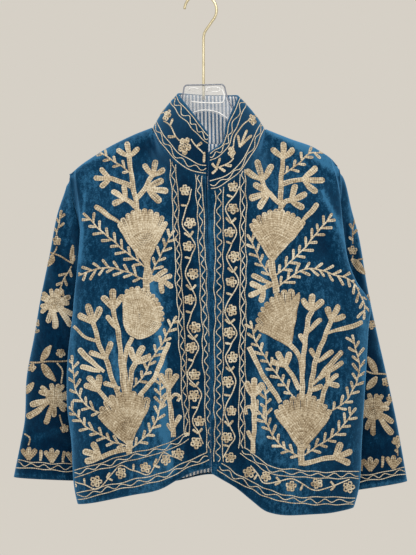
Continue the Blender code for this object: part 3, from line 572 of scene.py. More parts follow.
def back_grid():
    """Points of the back, columns from the left seam to the right one and rows from hem to top."""
    neck = back_neck_share()
    near = neck * np.sin(np.linspace(0, math.pi / 2, BACK_NECK_STEPS + 1))
    out = neck + (1 - neck) * np.linspace(0, 1, BACK_SIDE_STEPS + 1) ** BACK_SIDE_SPACING
    half = np.concatenate([near, out[1:]])
    share = np.concatenate([half[::-1], -half[1:]])
    top_z = np.full_like(share, NECK_LEVEL)
    low_z = np.full_like(share, EDGE_BOTTOM_Z * MM)
    for _ in range(COLUMN_ROUNDS):
        top_z = 0.5 * top_z + 0.5 * back_top(back_x(share, top_z))[0]
        low_z = hem_back(back_x(share, low_z))
    z = rows_between(top_z, low_z)
    x = back_x(share, z)
    top = back_top(np.broadcast_to(back_x(share, top_z), z.shape), softness(top_z - z))
    y = hang(top[1], back_free(x, z), np.maximum(top[0] - z, 0), top[2]) - rolled(z - low_z)
    return np.stack([x, y, z], -1)[::-1]


def sleeve_surface(side, rows, name, t, c, d):
    """Points of a sleeve at share t of its length, where c runs from the outer edge (1) to the
    inner one (minus 1) and d is the bulge to the front (1) or the back (minus 1)."""
    size = {key: column(rows, "along", key)(t) for key in SleeveSection._fields[1:]}

    def along(key):
        """Between the inner and the outer edge, by c."""
        middle = 0.5 * (size["outer_" + key] + size["inner_" + key])
        return middle + 0.5 * (size["outer_" + key] - size["inner_" + key]) * c

    x, y, z = along("x"), along("y"), along("z")
    sewn = 1 - ease(t / SLEEVE_SEWN)
    z = z - SLEEVE_HEAD_DROP * sewn * np.clip(c, 0, 1) ** SLEEVE_DROP_POWER
    step = side.sleeve_step * MM + SLEEVE_TIP_STEP * np.clip(c, 0, 1) ** SLEEVE_TIP_POWER
    x = x + (seam_x(side, z) + side.sign * step - x) * sewn
    y = y + (body_curve["seam_y"](z) + UNDERARM_STEP * 0.5 * (1 - c) - y) * sewn
    depth = size["half_depth"] - (SLEEVE_TUCK + SLEEVE_BACK_TUCK * (d < 0)) * sewn
    around = np.degrees(np.arccos(np.sign(c) * np.abs(np.clip(c, -1, 1)) ** (1 / SLEEVE_FLATNESS)))
    for crease in SLEEVE_CREASES:
        if crease.sleeve == name:
            bell = np.exp(-((t - crease.along - crease.slant * c) / crease.width) ** 2)
            bell = bell * np.exp(-((around - crease.around) / crease.spread) ** 2)
            depth = depth - crease.depth * MM * bell * (d > 0)
    y = y - depth * d
    return np.stack(np.broadcast_arrays(x, y, z), -1)


def sleeve_lines(side):
    """Shares of the length and turns round the tube at a sleeve's grid lines."""
    t = np.concatenate([SLEEVE_HEAD, np.linspace(SLEEVE_FROM, 1, SLEEVE_ROWS)])[:, None]
    return t, np.linspace(0, 2 * math.pi, SLEEVE_TURNS + 1)[None, :-1] * -side.sign


def sleeve_painted_shade(side):
    """Tone of a sleeve: painted shade darker than the fronts, most so below the elbow, and a painted
    highlight at the outer edge.
    """
    t, a = sleeve_lines(side)
    tone = SLEEVE_SHADE - ELBOW_SHADE * ease((t - ELBOW_FROM) / ELBOW_OVER)
    tone = tone + OUTER_HIGHLIGHT * np.clip(np.cos(a), 0, 1) ** OUTER_POWER
    return tone[::-1] if side.sign < 0 else tone[::-1, ::-1]


def sleeve_grid(side, rows, name):
    """Points of a sleeve: a flattened round carried along it, rows from cuff to armhole."""
    t, a = sleeve_lines(side)
    c = np.sign(np.cos(a)) * np.abs(np.cos(a)) ** SLEEVE_FLATNESS
    d = np.sign(np.sin(a)) * np.abs(np.sin(a)) ** SLEEVE_FLATNESS * -side.sign
    grid = sleeve_surface(side, rows, name, t, c, d)[::-1]
    return grid if side.sign < 0 else grid[:, ::-1]


def collar_point(turn, up):
    """Stand collar: from the neck edge straight up to its top edge, with a slight swell."""
    angle = np.radians(turn)
    s, c = np.sin(angle), np.cos(angle)
    left = (s >= 0) | (turn < 0)
    drop = np.where(left, LEFT.neck_drop, RIGHT.neck_drop) * MM
    power = np.where(left, LEFT.neck_power, RIGHT.neck_power)
    reach = np.where(left, LEFT.neck_reach, RIGHT.neck_reach) * MM
    front = np.clip(c, 0, 1)
    behind = np.clip(-c, 0, 1)
    share = np.where(c > 0, left.astype(float), 0.5 + 0.5 * s)
    level = (RIGHT.neck_z + (LEFT.neck_z - RIGHT.neck_z) * share) * MM
    x = NECK_X + (NECK_HALF_WIDTH - COLLAR_INSET) * s
    y = -reach * front + NECK_BACK_REACH * behind
    z = level - drop * front ** power - NECK_BACK_DROP * behind ** NECK_BACK_POWER - COLLAR_SINK
    swell = COLLAR_SWELL * np.sin(math.pi * up)
    x = x + (collar_top["x"](turn) - x) * up + swell * s
    y = y + (collar_top["y"](turn) - y) * up - swell * c
    z = z + (collar_top["z"](turn) - z) * up
    return np.stack(np.broadcast_arrays(x, y, z), -1)


def grid_normals(points, closed=False):
    """Unit normals of a grid of points, the way its columns cross its rows."""
    if closed:
        wide = np.concatenate([points[:, -1:], points, points[:, :1]], 1)
        across = (wide[:, 2:] - wide[:, :-2]) * 0.5
    else:
        across = np.gradient(points, axis=1)
    normal = np.cross(across, np.gradient(points, axis=0))
    return normal / np.maximum(np.linalg.norm(normal, axis=-1, keepdims=True), 1e-12)


def new_mesh(name, points, quads, materials, slot_index=None, uv=None, tone=None):
    """Smooth object from whole arrays of points and four-cornered faces."""
    mesh = bpy.data.meshes.new(name)
    mesh.vertices.add(len(points))
    mesh.vertices.foreach_set("co", points.astype(np.float32).ravel())
    mesh.loops.add(quads.size)
    mesh.loops.foreach_set("vertex_index", quads.astype(np.int32).ravel())
    mesh.polygons.add(len(quads))
    mesh.polygons.foreach_set("loop_start", np.arange(0, quads.size, 4, dtype=np.int32))
    mesh.polygons.foreach_set("use_smooth", np.ones(len(quads), bool))
    for material in materials:
        mesh.materials.append(material)
    if slot_index is not None:
        mesh.polygons.foreach_set("material_index", slot_index.astype(np.int32))
    if uv is not None:
        layer = mesh.uv_layers.new(name="cloth")
        layer.data.foreach_set("uv", uv[quads.ravel()].astype(np.float32).ravel())
    if tone is not None:
        mesh.attributes.new("tone", "FLOAT", "POINT").data.foreach_set("value", tone.astype(np.float32))
    mesh.update(calc_edges=True)
    obj = bpy.data.objects.new(name, mesh)
    bpy.context.scene.collection.objects.link(obj)
    return obj


def painted_light_tone(panel, points, tone=PLAIN_TONE):
    """Painted light and shade of a panel: a plain tone where it lies flat, painted light on its folds and
    painted shade between them, and a bell across each stroke of painted light or shade, fading at the
    stroke's ends."""
    tone = tone + fold_height(panel, points[..., 0], points[..., 2]) / FOLD_LIGHT_STEP
    pitch = CHART_PITCH * (1 + points[..., 1] / CAMERA_AWAY)
    spot = np.stack([CHART_COLUMN + (points[..., 0] - CAMERA_X) / pitch,
                     CHART_ROW - (points[..., 2] - CAMERA_Z) / pitch], -1)
    for stroke in LIGHT_AND_SHADE_STROKES:
        if stroke.panel == panel:
            start = np.array([stroke.column_1, stroke.row_1], float)
            run = np.array([stroke.column_2, stroke.row_2]) - start
            along = np.clip((spot - start) @ run / (run @ run), 0, 1)
            away = np.linalg.norm(spot - start - along[..., None] * run, axis=-1)
            tone = tone + stroke.amount * np.exp(-(away / stroke.width) ** 2)
    return np.clip(tone, 0, 1)


def run_of(line):
    """Length along a line of points, up to each of them."""
    return np.concatenate([[0.0], np.cumsum(np.linalg.norm(np.diff(line, axis=0), axis=1))])


def upright_uv(points, middle):
    """Metres across each row from a middle column, so that stripes stand parallel to that column."""
    steps = np.linalg.norm(np.diff(points, axis=1), axis=-1)
    across = np.cumsum(np.concatenate([np.zeros((len(points), 1)), steps], 1), axis=1)
    up = np.broadcast_to(run_of(points[:, middle])[:, None], across.shape)
    return np.stack([across - across[:, middle:middle + 1], up], -1)


def cloth_uv(points):
    """Metres across a grid, as the mean of its rows, and up each of its columns."""
    across = np.linalg.norm(np.diff(points, axis=1), axis=-1).mean(0)
    up = np.linalg.norm(np.diff(points, axis=0), axis=-1)
    u = np.concatenate([[0.0], np.cumsum(across)])
    v = np.concatenate([np.zeros((1, points.shape[1])), np.cumsum(up, axis=0)])
    return np.stack([np.broadcast_to(u, v.shape), v], -1)


def shell(name, points, wall, materials, closed=False, tone=None, uv=None, facing=None):
    """Thin closed shell: the grid, the same grid moved in along its normals, and rims between."""
    rows, columns = points.shape[:2]
    inner = points - grid_normals(points, closed) * wall
    uv = (cloth_uv(points) if uv is None else uv).reshape(-1, 2)
    tone = np.full(points.shape[:2], PLAIN_TONE) if tone is None else tone
    index = np.arange(rows * columns).reshape(rows, columns)
    if closed:
        index = np.concatenate([index, index[:, :1]], 1)
    n = rows * columns
    outer = np.stack([index[:-1, :-1], index[:-1, 1:], index[1:, 1:], index[1:, :-1]], -1).reshape(-1, 4)

    def rim(a, b):
        """Faces from edges of the grid to the same edges of the inner one."""
        return np.stack([a, b, b + n, a + n], -1)

    rims = [rim(index[0, 1:], index[0, :-1]), rim(index[-1, :-1], index[-1, 1:])]
    if not closed:
        rims += [rim(index[:-1, 0], index[1:, 0]), rim(index[1:, -1], index[:-1, -1])]
    quads = np.concatenate([outer, outer[:, ::-1] + n] + rims)
    slots = np.zeros(len(quads))
    plain = np.zeros(len(outer), bool) if facing is None else facing.ravel()
    slots[len(outer):2 * len(outer)] = np.where(plain, 0, len(materials) - 1)
    both = np.concatenate([points.reshape(-1, 3), inner.reshape(-1, 3)])
    return new_mesh(name, both, quads, materials, slots, np.concatenate([uv, uv]), np.tile(tone.ravel(), 2))


def curve(points, step=1.2):
    """Smooth line through points: each span is a cubic whose slopes join its neighbours."""
    p = np.asarray(points, float)
    wide = np.concatenate([2 * p[:1] - p[1:2], p, 2 * p[-1:] - p[-2:-1]])
    spans = []
    for a, b, c, d in zip(wide, wide[1:], wide[2:], wide[3:]):
        f = np.linspace(0, 1, max(2, int(np.linalg.norm(c - b) / step) + 1))[:-1, None]
        spans.append(0.5 * (2 * b + (c - a) * f + (2 * a - 5 * b + 4 * c - d) * f ** 2
                            + (3 * b - a - 3 * c + d) * f ** 3))
    return np.concatenate(spans + [p[-1:]])


BAR_END = 0.05                 # radius of a bar's closing ring against its own


def bar(path, radius, turns=16):
    """Points and faces of a round bar along a path, its section square to it and its ends closed."""
    along = np.gradient(path, axis=0)
    along = along / np.linalg.norm(along, axis=1, keepdims=True)
    side = np.array([0.0, 1.0, 0.0]) - along * along[:, 1:2]
    side = side / np.linalg.norm(side, axis=1, keepdims=True)
    up = np.cross(along, side)
    a = np.linspace(0, 2 * math.pi, turns + 1)[:-1]
    rings = np.concatenate([[0], np.arange(len(path)), [len(path) - 1]])
    width = np.full(len(rings), radius)
    width[[0, -1]] = BAR_END * radius
    ring = np.cos(a)[None, :, None] * side[rings][:, None] + np.sin(a)[None, :, None] * up[rings][:, None]
    points = path[rings][:, None] + ring * width[:, None, None]
    index = np.arange(len(rings) * turns).reshape(len(rings), turns)
    index = np.concatenate([index, index[:, :1]], 1)
    quads = np.stack([index[:-1, :-1], index[:-1, 1:], index[1:, 1:], index[1:, :-1]], -1).reshape(-1, 4)
    return points.reshape(-1, 3), quads


def bars(name, paths, radius, material):
    """Several round bars joined in one piece."""
    points, quads, count = [], [], 0
    for path in paths:
        some, faces = bar(path, radius)
        points.append(some)
        quads.append(faces + count)
        count += len(some)
    return new_mesh(name, np.concatenate(points), np.concatenate(quads), [material])


# Materials


class Nodes:
    """Small helper for a material's node tree."""

    def __init__(self, name):
        self.material = bpy.data.materials.new(name)
        self.material.use_nodes = True
        self.tree = self.material.node_tree
        self.shader = self.tree.nodes["Principled BSDF"]

    def add(self, kind, values=None, **settings):
        """New node with its settings and the values of its sockets."""
        node = self.tree.nodes.new(kind)
        for key, value in settings.items():
            setattr(node, key, value)
        for key, value in (values or {}).items():
            wanted = [i for i in node.inputs if i.name == key and i.enabled]
            wanted[0].default_value = value
        return node

    def link(self, out, into):
        """Joins an output to an input."""
        self.tree.links.new(out, into)

    def set(self, **values):
        """Sets the shader's own sockets, named in small letters."""
        for key, value in values.items():
            self.shader.inputs[key.replace("_", " ").title().replace("Ior", "IOR")].default_value = value

    def math(self, operation, a, b=0.0, clamp=False):
        """One sum on two outputs or numbers."""
        node = self.add("ShaderNodeMath", operation=operation, use_clamp=clamp)
        for socket, value in zip(node.inputs, (a, b)):
            if isinstance(value, (int, float)):
                socket.default_value = value
            else:
                self.link(value, socket)
        return node.outputs[0]

    def noise(self, vector, scale, detail=3.0, rough=0.5):
        """Soft random value at a place."""
        node = self.add("ShaderNodeTexNoise", {"Scale": scale, "Detail": detail, "Roughness": rough})
        self.link(vector, node.inputs["Vector"])
        return node.outputs["Fac"]

    def ramp(self, factor, stops):
        """Colour between stops, each a place and a colour."""
        node = self.add("ShaderNodeValToRGB")
        elements = node.color_ramp.elements
        while len(elements) < len(stops):
            elements.new(0.5)
        for element, (place, colour) in zip(elements, stops):
            element.position = place
            element.color = (*colour, 1.0)
        self.link(factor, node.inputs["Fac"])
        return node.outputs["Color"]

    def bump(self, height, strength, distance):
        """Small relief on the shader, from a height."""
        node = self.add("ShaderNodeBump", {"Strength": strength, "Distance": distance})
        self.link(height, node.inputs["Height"])
        self.link(node.outputs["Normal"], self.shader.inputs["Normal"])


VELVET_DEEP = (0.0, 0.0125, 0.037)
VELVET_MID = (0.0012, 0.0275, 0.069)
VELVET_LIGHT = (0.030, 0.135, 0.265)
# colour of the painted sheen where the surface is seen from its side
VELVET_PAINTED_SHEEN = (0.085, 0.29, 0.56)
VELVET_SHEEN = (0.20, 0.60, 1.0, 1.0)
VELVET_STRETCH = (1.0, 1.0, 0.55)
PAINTED_SHEEN_POWER = 1.45       # painted sheen: how the base colour lightens towards the side, and how far
PAINTED_SHEEN_SHARE = 0.90
VELVET_PAINTED_LIGHT = 0.46             # share of the piece's tone, its painted light and shade, in the colour
Marks = namedtuple("Marks", "scale detail rough share")
PATCHES = Marks(22.0, 5.0, 0.6, 0.22)
NAP_MARKS = Marks(190.0, 4.0, 0.65, 0.46)
GRAIN = Marks(520.0, 2.0, 0.6, 0.32)
PILE = Marks(1900.0, 2.0, 0.6, 0.35)


def velvet_material():
    """Blue velvet: crushed patches in two sizes, short vertical nap marks and a fine pile bump,
    with painted light and shade from the piece's tone, and a painted sheen where the surface is seen from
    its side."""
    n = Nodes("blue_velvet")
    place = n.add("ShaderNodeTexCoord").outputs["Object"]
    stretch = n.add("ShaderNodeMapping", {"Scale": VELVET_STRETCH})
    n.link(place, stretch.inputs["Vector"])
    # painted light and shade, from the piece's tone attribute
    fold = n.math("SUBTRACT", n.add("ShaderNodeAttribute", attribute_name="tone").outputs["Fac"], PLAIN_TONE)
    patches = n.noise(stretch.outputs["Vector"], *PATCHES[:3])
    nap = n.noise(stretch.outputs["Vector"], *NAP_MARKS[:3])
    pile = n.noise(place, *PILE[:3])
    grain = n.noise(place, *GRAIN[:3])
    mixed = n.math("MULTIPLY", fold, VELVET_PAINTED_LIGHT)
    for noise, marks in ((patches, PATCHES), (nap, NAP_MARKS), (grain, GRAIN)):
        mixed = n.math("ADD", mixed, n.math("MULTIPLY", noise, marks.share))
    body = n.ramp(mixed, ((0.34, VELVET_DEEP), (0.50, VELVET_MID), (0.70, VELVET_LIGHT)))
    # painted sheen: the base colour turns lighter blue where the surface is seen from its side
    side = n.add("ShaderNodeLayerWeight", {"Blend": 0.5}).outputs["Facing"]
    edge = n.add("ShaderNodeMix", {"B": (*VELVET_PAINTED_SHEEN, 1.0)}, data_type="RGBA")
    n.link(n.math("MULTIPLY", n.math("POWER", side, PAINTED_SHEEN_POWER), PAINTED_SHEEN_SHARE), edge.inputs[0])
    n.link(body, next(i for i in edge.inputs if i.name == "A" and i.enabled))
    n.link(next(o for o in edge.outputs if o.enabled), n.shader.inputs["Base Color"])
    rough = n.math("ADD", n.math("MULTIPLY", nap, 0.2), 0.72)
    n.link(rough, n.shader.inputs["Roughness"])
    n.set(sheen_weight=0.62, sheen_roughness=0.28, specular_ior_level=0.05)
    n.shader.inputs["Sheen Tint"].default_value = VELVET_SHEEN
    n.bump(n.math("ADD", n.math("MULTIPLY", pile, PILE.share), nap), 0.6, 1.2 * MM)
    return n.material


STRIPE_PERIOD = 5.7 * MM
STRIPE_WHITE = (0.96, 0.97, 0.99)
STRIPE_BLUE = (0.10, 0.21, 0.36)
STRIPE_WANDER = 0.25           # how far a stripe's edge wanders, in periods
WEAVE = 9000.0                 # turn of the weave's wave for each metre, in radians


def stripe_material():
    """Striped cotton: woven bars along the cloth's own width, with a fine weave."""
    n = Nodes("striped_cotton")
    uv = n.add("ShaderNodeUVMap", uv_map="cloth").outputs["UV"]
    split = n.add("ShaderNodeSeparateXYZ")
    n.link(uv, split.inputs["Vector"])
    across, up = split.outputs["X"], split.outputs["Y"]
    wobble = n.math("MULTIPLY", n.math("SUBTRACT", n.noise(uv, 60.0), 0.5), STRIPE_WANDER)
    turn = n.math("FRACT", n.math("ADD", n.math("DIVIDE", across, STRIPE_PERIOD), wobble))
    away = n.math("ABSOLUTE", n.math("SUBTRACT", turn, 0.5))
    weave = n.math("MULTIPLY", n.math("SINE", n.math("MULTIPLY", across, WEAVE)),
                   n.math("SINE", n.math("MULTIPLY", up, WEAVE)))
    threads = n.math("ADD", away, n.math("MULTIPLY", weave, 0.03))
    n.link(n.ramp(threads, ((0.20, STRIPE_BLUE), (0.29, STRIPE_WHITE))), n.shader.inputs["Base Color"])
    n.set(roughness=0.85, sheen_weight=0.15, sheen_roughness=0.5, specular_ior_level=0.25)
    n.bump(weave, 0.25, 0.3 * MM)
    return n.material


PLASTIC_DIM = (0.62, 0.66, 0.72)
PLASTIC_CLEAR = (0.80, 0.83, 0.87)
RIM_PAINTED_SHADE = (0.34, 0.37, 0.45)
RIB_PAINTED_HIGHLIGHT = (0.98, 0.99, 1.0)
BRASS_RUBBED = (0.62, 0.55, 0.36)
BRASS_BRIGHT = (0.72, 0.65, 0.45)


def plastic_material():
    """Clear hanger plastic with faint flow marks."""
    n = Nodes("clear_plastic")
    place = n.add("ShaderNodeTexCoord").outputs["Object"]
    n.set(roughness=0.04, ior=1.47, alpha=0.20)
    n.link(n.ramp(n.noise(place, 25.0), ((0.35, PLASTIC_DIM), (0.65, PLASTIC_CLEAR))),
           n.shader.inputs["Base Color"])
    n.bump(n.noise(place, 40.0, 2.0), 0.12, 2.0 * MM)
    return n.material


def rib_material(name, colour, through):
    """Moulded rib of the same plastic, its colour a painted highlight on the ribs and painted shade on the
    rim.
    """
    n = Nodes(name)
    place = n.add("ShaderNodeTexCoord").outputs["Object"]
    n.link(n.ramp(n.noise(place, 90.0), ((0.35, tuple(0.85 * c for c in colour)), (0.65, colour))),
           n.shader.inputs["Base Color"])
    n.set(roughness=0.10, ior=1.47, transmission_weight=through)
    return n.material


def brass_material():
    """Pale brass wire with soft rubbed marks."""
    n = Nodes("pale_brass")
    place = n.add("ShaderNodeTexCoord").outputs["Object"]
    marks = n.noise(place, 60.0, 4.0)
    n.link(n.ramp(marks, ((0.35, BRASS_RUBBED), (0.65, BRASS_BRIGHT))),
           n.shader.inputs["Base Color"])
    n.link(n.math("ADD", n.math("MULTIPLY", marks, 0.1), 0.26), n.shader.inputs["Roughness"])
    n.set(metallic=1.0)
    return n.material


velvet = velvet_material()
stripes = stripe_material()
plastic = plastic_material()
rim_shade_plastic = rib_material("painted_shade_plastic", RIM_PAINTED_SHADE, 0.45)
rib_highlight_plastic = rib_material("painted_highlight_plastic", RIB_PAINTED_HIGHLIGHT, 0.08)
brass = brass_material()


def dress(obj, slot, *nodes):
    """Puts a piece on the body and hides the solids it stands for; the name of its finish is not used."""
    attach(obj, "root")
    if nodes:
        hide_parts(*nodes)
    return obj


# Cloth


def front_piece(name, side):
    """Front as a shell, striped inside but for velvet beside its edges and on its turned side."""
    points = front_grid(side)
    inside = np.zeros((points.shape[0] - 1, points.shape[1] - 1), bool)
    inside[:, -RETURN_STEPS - 2:] = True
    inside[:, :FACING_ROWS] = True
    inside[-FACING_ROWS:] = True
    if side.sign < 0:
        points, inside = points[:, ::-1], inside[:, ::-1]
    front = shell("jacket_front_" + name, points, CLOTH_WALL, [velvet, stripes],
                  tone=painted_light_tone("front_" + name, points), facing=inside)
    return dress(front, "velvet_front_" + name, "front_" + name)


def sleeve_piece(name, side, rows):
    """Sleeve as a shell, striped inside but for velvet beside the armhole."""
    points = sleeve_grid(side, rows, name)
    inside = np.zeros((points.shape[0] - 1, points.shape[1]), bool)
    inside[-FACING_ROWS:] = True
    tone = painted_light_tone("sleeve_" + name, points, sleeve_painted_shade(side))
    sleeve = shell("jacket_sleeve_" + name, points, CLOTH_WALL, [velvet, stripes], closed=True,
                   facing=inside, tone=tone)
    return dress(sleeve, "velvet_sleeve_" + name, "sleeve_" + name)


front_right = front_piece("right", RIGHT)
front_left = front_piece("left", LEFT)
back_points = back_grid()
back = dress(shell("jacket_back", back_points, CLOTH_WALL, [velvet], tone=painted_light_tone("back", back_points)),
             "velvet_back", "back")

lining_points = back_points - grid_normals(back_points) * (CLOTH_WALL + LINING_GAP)
lining_points = lining_points[LINING_HEM:1 - len(ROWS_BELOW_TOP), LINING_SIDE:-LINING_SIDE]
lining_uv = upright_uv(lining_points, lining_points.shape[1] // 2)
back_lining = dress(shell("jacket_back_lining", lining_points, LINING_WALL, [stripes], uv=lining_uv),
                    "striped_cotton_back", "back_lining")

sleeve_right = sleeve_piece("right", RIGHT, SLEEVE_RIGHT)
sleeve_left = sleeve_piece("left", LEFT, SLEEVE_LEFT)

collar_points = collar_point(np.linspace(COLLAR_START, COLLAR_END, COLLAR_COLUMNS + 1)[None],
                             np.linspace(0, 1, COLLAR_ROWS + 1)[:, None])
# painted shade along the collar's middle
from_middle = (np.linspace(0, 1, COLLAR_ROWS + 1) - 0.5) / COLLAR_SHADE_WIDTH
collar_shade = PLAIN_TONE - COLLAR_SHADE * np.exp(-from_middle ** 2)
collar_shade = np.repeat(collar_shade[:, None], COLLAR_COLUMNS + 1, axis=1)
collar = dress(shell("jacket_collar", collar_points, CLOTH_WALL, [velvet], tone=collar_shade),
               "velvet_collar", "collar")
lining_turn = np.linspace(COLLAR_START + COLLAR_LINING_INSET, COLLAR_END - COLLAR_LINING_INSET,
                          COLLAR_COLUMNS + 1)[None]
lining_low = -COLLAR_LINING_TAIL * np.clip(-np.cos(np.radians(lining_turn)), 0, 1) ** 2
lining_up = lining_low + (COLLAR_LINING_TOP - lining_low) * np.linspace(0, 1, COLLAR_ROWS + 1)[:, None]
inside = collar_point(lining_turn, lining_up)
inside = inside - grid_normals(inside) * (CLOTH_WALL + LINING_GAP)
collar_lining = dress(shell("jacket_collar_lining", inside, LINING_WALL, [stripes],
                            uv=upright_uv(inside, COLLAR_COLUMNS // 2)),
                      "striped_cotton_collar", "collar_lining")

# Hanger

bend = np.radians(np.linspace(HOOK_TIP, HOOK_BEND_END, HOOK_BEND_STEPS))
hook_x = np.concatenate([HOOK_RADIUS * np.cos(bend), [p.x * MM for p in HOOK_LOW]])
hook_z = np.concatenate([HOOK_WIRE / 2 - HOOK_RADIUS + HOOK_RADIUS * np.sin(bend),
                         [p.z * MM for p in HOOK_LOW]])
shank = np.linspace(HOOK_LOW[-1].z, HOOK_STEM_END, HOOK_STEM_STEPS)[1:] * MM
hook_x = np.concatenate([hook_x, np.full(len(shank), HOOK_STEM_X * MM)])
hook_z = np.concatenate([hook_z, shank])
hook_path = np.stack([hook_x, np.zeros_like(hook_x), hook_z], 1)
dress(bars("hanger_hook_wire", [hook_path], HOOK_WIRE / 2, brass), "pale_brass", "hanger_hook")

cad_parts["hanger_body"].data.materials.clear()
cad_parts["hanger_body"].data.materials.append(plastic)


def on_plate(rows):
    """Smooth line through places on the front of the hanger's plate, in millimetres."""
    line = curve(rows, 2.0) * MM
    return np.stack([line[:, 0], np.full(len(line), PLATE_FRONT), line[:, 1]], 1)


# rim in painted shade and ribs in painted highlight, so that the clear plate's edges show
dress(bars("hanger_rim", [on_plate(PLATE_RIM)], RIM_RADIUS, rim_shade_plastic), "clear_plastic")
dress(bars("hanger_ribs", [on_plate(rows) for rows in PLATE_RIBS], RIB_RADIUS, rib_highlight_plastic), "clear_plastic")

# Sewing: rows of chain stitch. Motifs are charted in squares, column and row as on squared
# paper laid over the front, so rows count downwards.

ROW = 1.6                      # width of one row of stitches, in squares
STITCH = 3.5 * MM
STATIONS = 3                   # steps along one stitch
THREAD_HALF = 1.30 * MM
THREAD_RISE = 0.95 * MM
THREAD_LIFT = 0.1 * MM         # thread above the cloth
THREAD_TONE = 0.62
STITCH_UNEVEN = 0.11           # how far stitches and rows differ in shade
ROW_UNEVEN = 0.07
LINK_END = 0.75                # width of a row's first and last step
BORDER_TONE = 0.14             # borders are sewn in a lighter shade; the sleeves' thread is in painted shade
SLEEVE_THREAD_SHADE = -0.18

# Width of rows against a full one
THIN = 0.50
STALK_THIN = 0.9
FERN_THIN = 0.82
KNOT_THIN = 0.8
VINE_THIN = 0.72
TWIG_THIN = 0.78
COLLAR_STALK_THIN = 0.8
COLLAR_TWIG_THIN = 0.85

# One link of the chain, a row for each step along it, and its section across. Their tones are painted shade
# where links join and on the section's sides and groove, and painted highlight on its tops
Link = namedtuple("Link", "width rise tone")
LINK = [Link(*row) for row in ((0.80, 0.60, -0.20), (1.0, 1.0, 0.08), (0.94, 0.92, 0.04))]
Section = namedtuple("Section", "across rise tone")
SECTION = [Section(*row) for row in (
    (-1.0, -0.15, -0.16), (-0.55, 0.95, 0.04), (0.0, 0.72, -0.07), (0.55, 0.95, 0.04), (1.0, -0.15, -0.16))]

Trefoil = namedtuple("Trefoil", "x y turn spread size")
TREFOILS = {
    "right": [Trefoil(*row) for row in (
        (128.5, 157, -4, 52, 16), (110, 178, -90, 48, 16), (126, 199, -60, 52, 17), (152, 176, 14, 48, 17),
        (146, 189, 96, 36, 23), (159, 280, 118, 46, 16), (113, 309, -2, 38, 20), (93, 323, -16, 42, 20),
        (135, 363, 26, 42, 19), (99, 391, -36, 34, 19), (101, 457, -70, 38, 20), (168, 389, 2, 30, 20))],
    "left": [Trefoil(*row) for row in (
        (283, 159, 0, 46, 18), (302, 180, 90, 42, 23), (262, 181, -12, 44, 22), (270, 193, -104, 40, 22),
        (290, 200, 70, 50, 19), (264, 288, -118, 48, 17), (312, 312, 2, 40, 19), (331, 321, 26, 42, 18),
        (286, 367, -28, 40, 18), (254, 398, 2, 30, 21), (327, 384, 52, 46, 15), (334, 458, 68, 42, 20))],
}

# Long single petals, from base to tip
Petal = namedtuple("Petal", "x y tip_x tip_y width")
PETALS = {
    "right": [Petal(*row) for row in (
        (122, 224, 94, 205, 5.4), (149, 282, 167, 269, 5), (119, 331, 106, 316, 5.4),
        (105, 359, 89, 352, 5.4), (106, 358, 111, 341, 5.4), (104, 372, 78, 349, 5.6),
        (100, 371, 80, 366, 5.4), (120, 388, 103, 382, 5), (174, 427, 180, 415, 4.6),
        (172, 432, 167, 423, 3.6))],
    "left": [Petal(*row) for row in (
        (299, 225, 318, 203, 5.2), (270, 284, 252, 275, 5), (327, 334, 363, 322, 4.8),
        (305, 347, 300, 333, 5.2), (307, 332, 321, 319, 5.2), (315, 358, 310, 348, 5),
        (318, 362, 333, 350, 5.4), (313, 384, 342, 351, 5.2), (318, 379, 344, 361, 5.2),
        (309, 391, 323, 385, 5.8), (253, 442, 247, 431, 4))],
}

# Thick stems, as the width in squares and the points that each runs through
Stem = namedtuple("Stem", "width points")
STEMS = {
    "right": [Stem(*row) for row in (
        (5.0, ((137, 212), (133, 184), (128.5, 157))), (4.6, ((134, 200), (143, 191), (152, 175))),
        (4.6, ((132, 186), (120, 181), (110, 178))), (4.2, ((135, 207), (130, 202), (126, 199))),
        (5.8, ((148, 257), (147, 275), (146, 291))), (4.4, ((148, 277), (159, 280))),
        (4.8, ((124, 394), (120, 350), (117, 326), (113, 309))), (3.4, ((98, 341), (86, 338), (74, 326))),
        (4.8, ((119, 396), (104, 356), (98, 340), (93, 323))), (4.8, ((132, 338), (125, 358), (126, 394))),
        (4.2, ((129, 396), (131, 374), (135, 363))), (4.2, ((112, 407), (104, 397), (99, 391))),
        (6.0, ((129, 440), (129, 454))), (4.6, ((126, 449), (113, 453), (101, 457))),
        (4.2, ((173, 437), (171, 410), (168, 389))), (3.2, ((170, 400), (175, 394), (180, 396), (178, 401))),
        (3.0, ((170, 399), (165, 399), (161, 408))), (4.8, ((140, 396), (156, 375), (169, 342))))],
    "left": [Stem(*row) for row in (
        (5.4, ((280, 213), (281, 190), (283, 159))), (4.6, ((282, 184), (292, 181), (302, 180))),
        (4.6, ((279, 204), (266, 189), (262, 181))), (4.4, ((275, 199), (270, 193))),
        (4.4, ((281, 207), (285, 202), (290, 200))), (5.8, ((271, 259), (273, 275), (277, 293))),
        (4.4, ((274, 284), (264, 288))), (4.8, ((302, 400), (304, 350), (308, 322), (312, 312))),
        (4.8, ((308, 399), (316, 361), (326, 335), (331, 321))), (4.8, ((290, 344), (299, 357), (303, 374))),
        (4.2, ((300, 390), (293, 377), (286, 367))), (4.2, ((321, 405), (324, 393), (327, 384))),
        (4.8, ((281, 402), (263, 375), (249, 347))), (4.2, ((253, 453), (254, 425), (254, 398))),
        (3.2, ((254, 415), (251, 407), (246, 408), (247, 414))), (6.0, ((301, 445), (301, 466))),
        (4.6, ((302, 464), (318, 460), (334, 458))))],
}

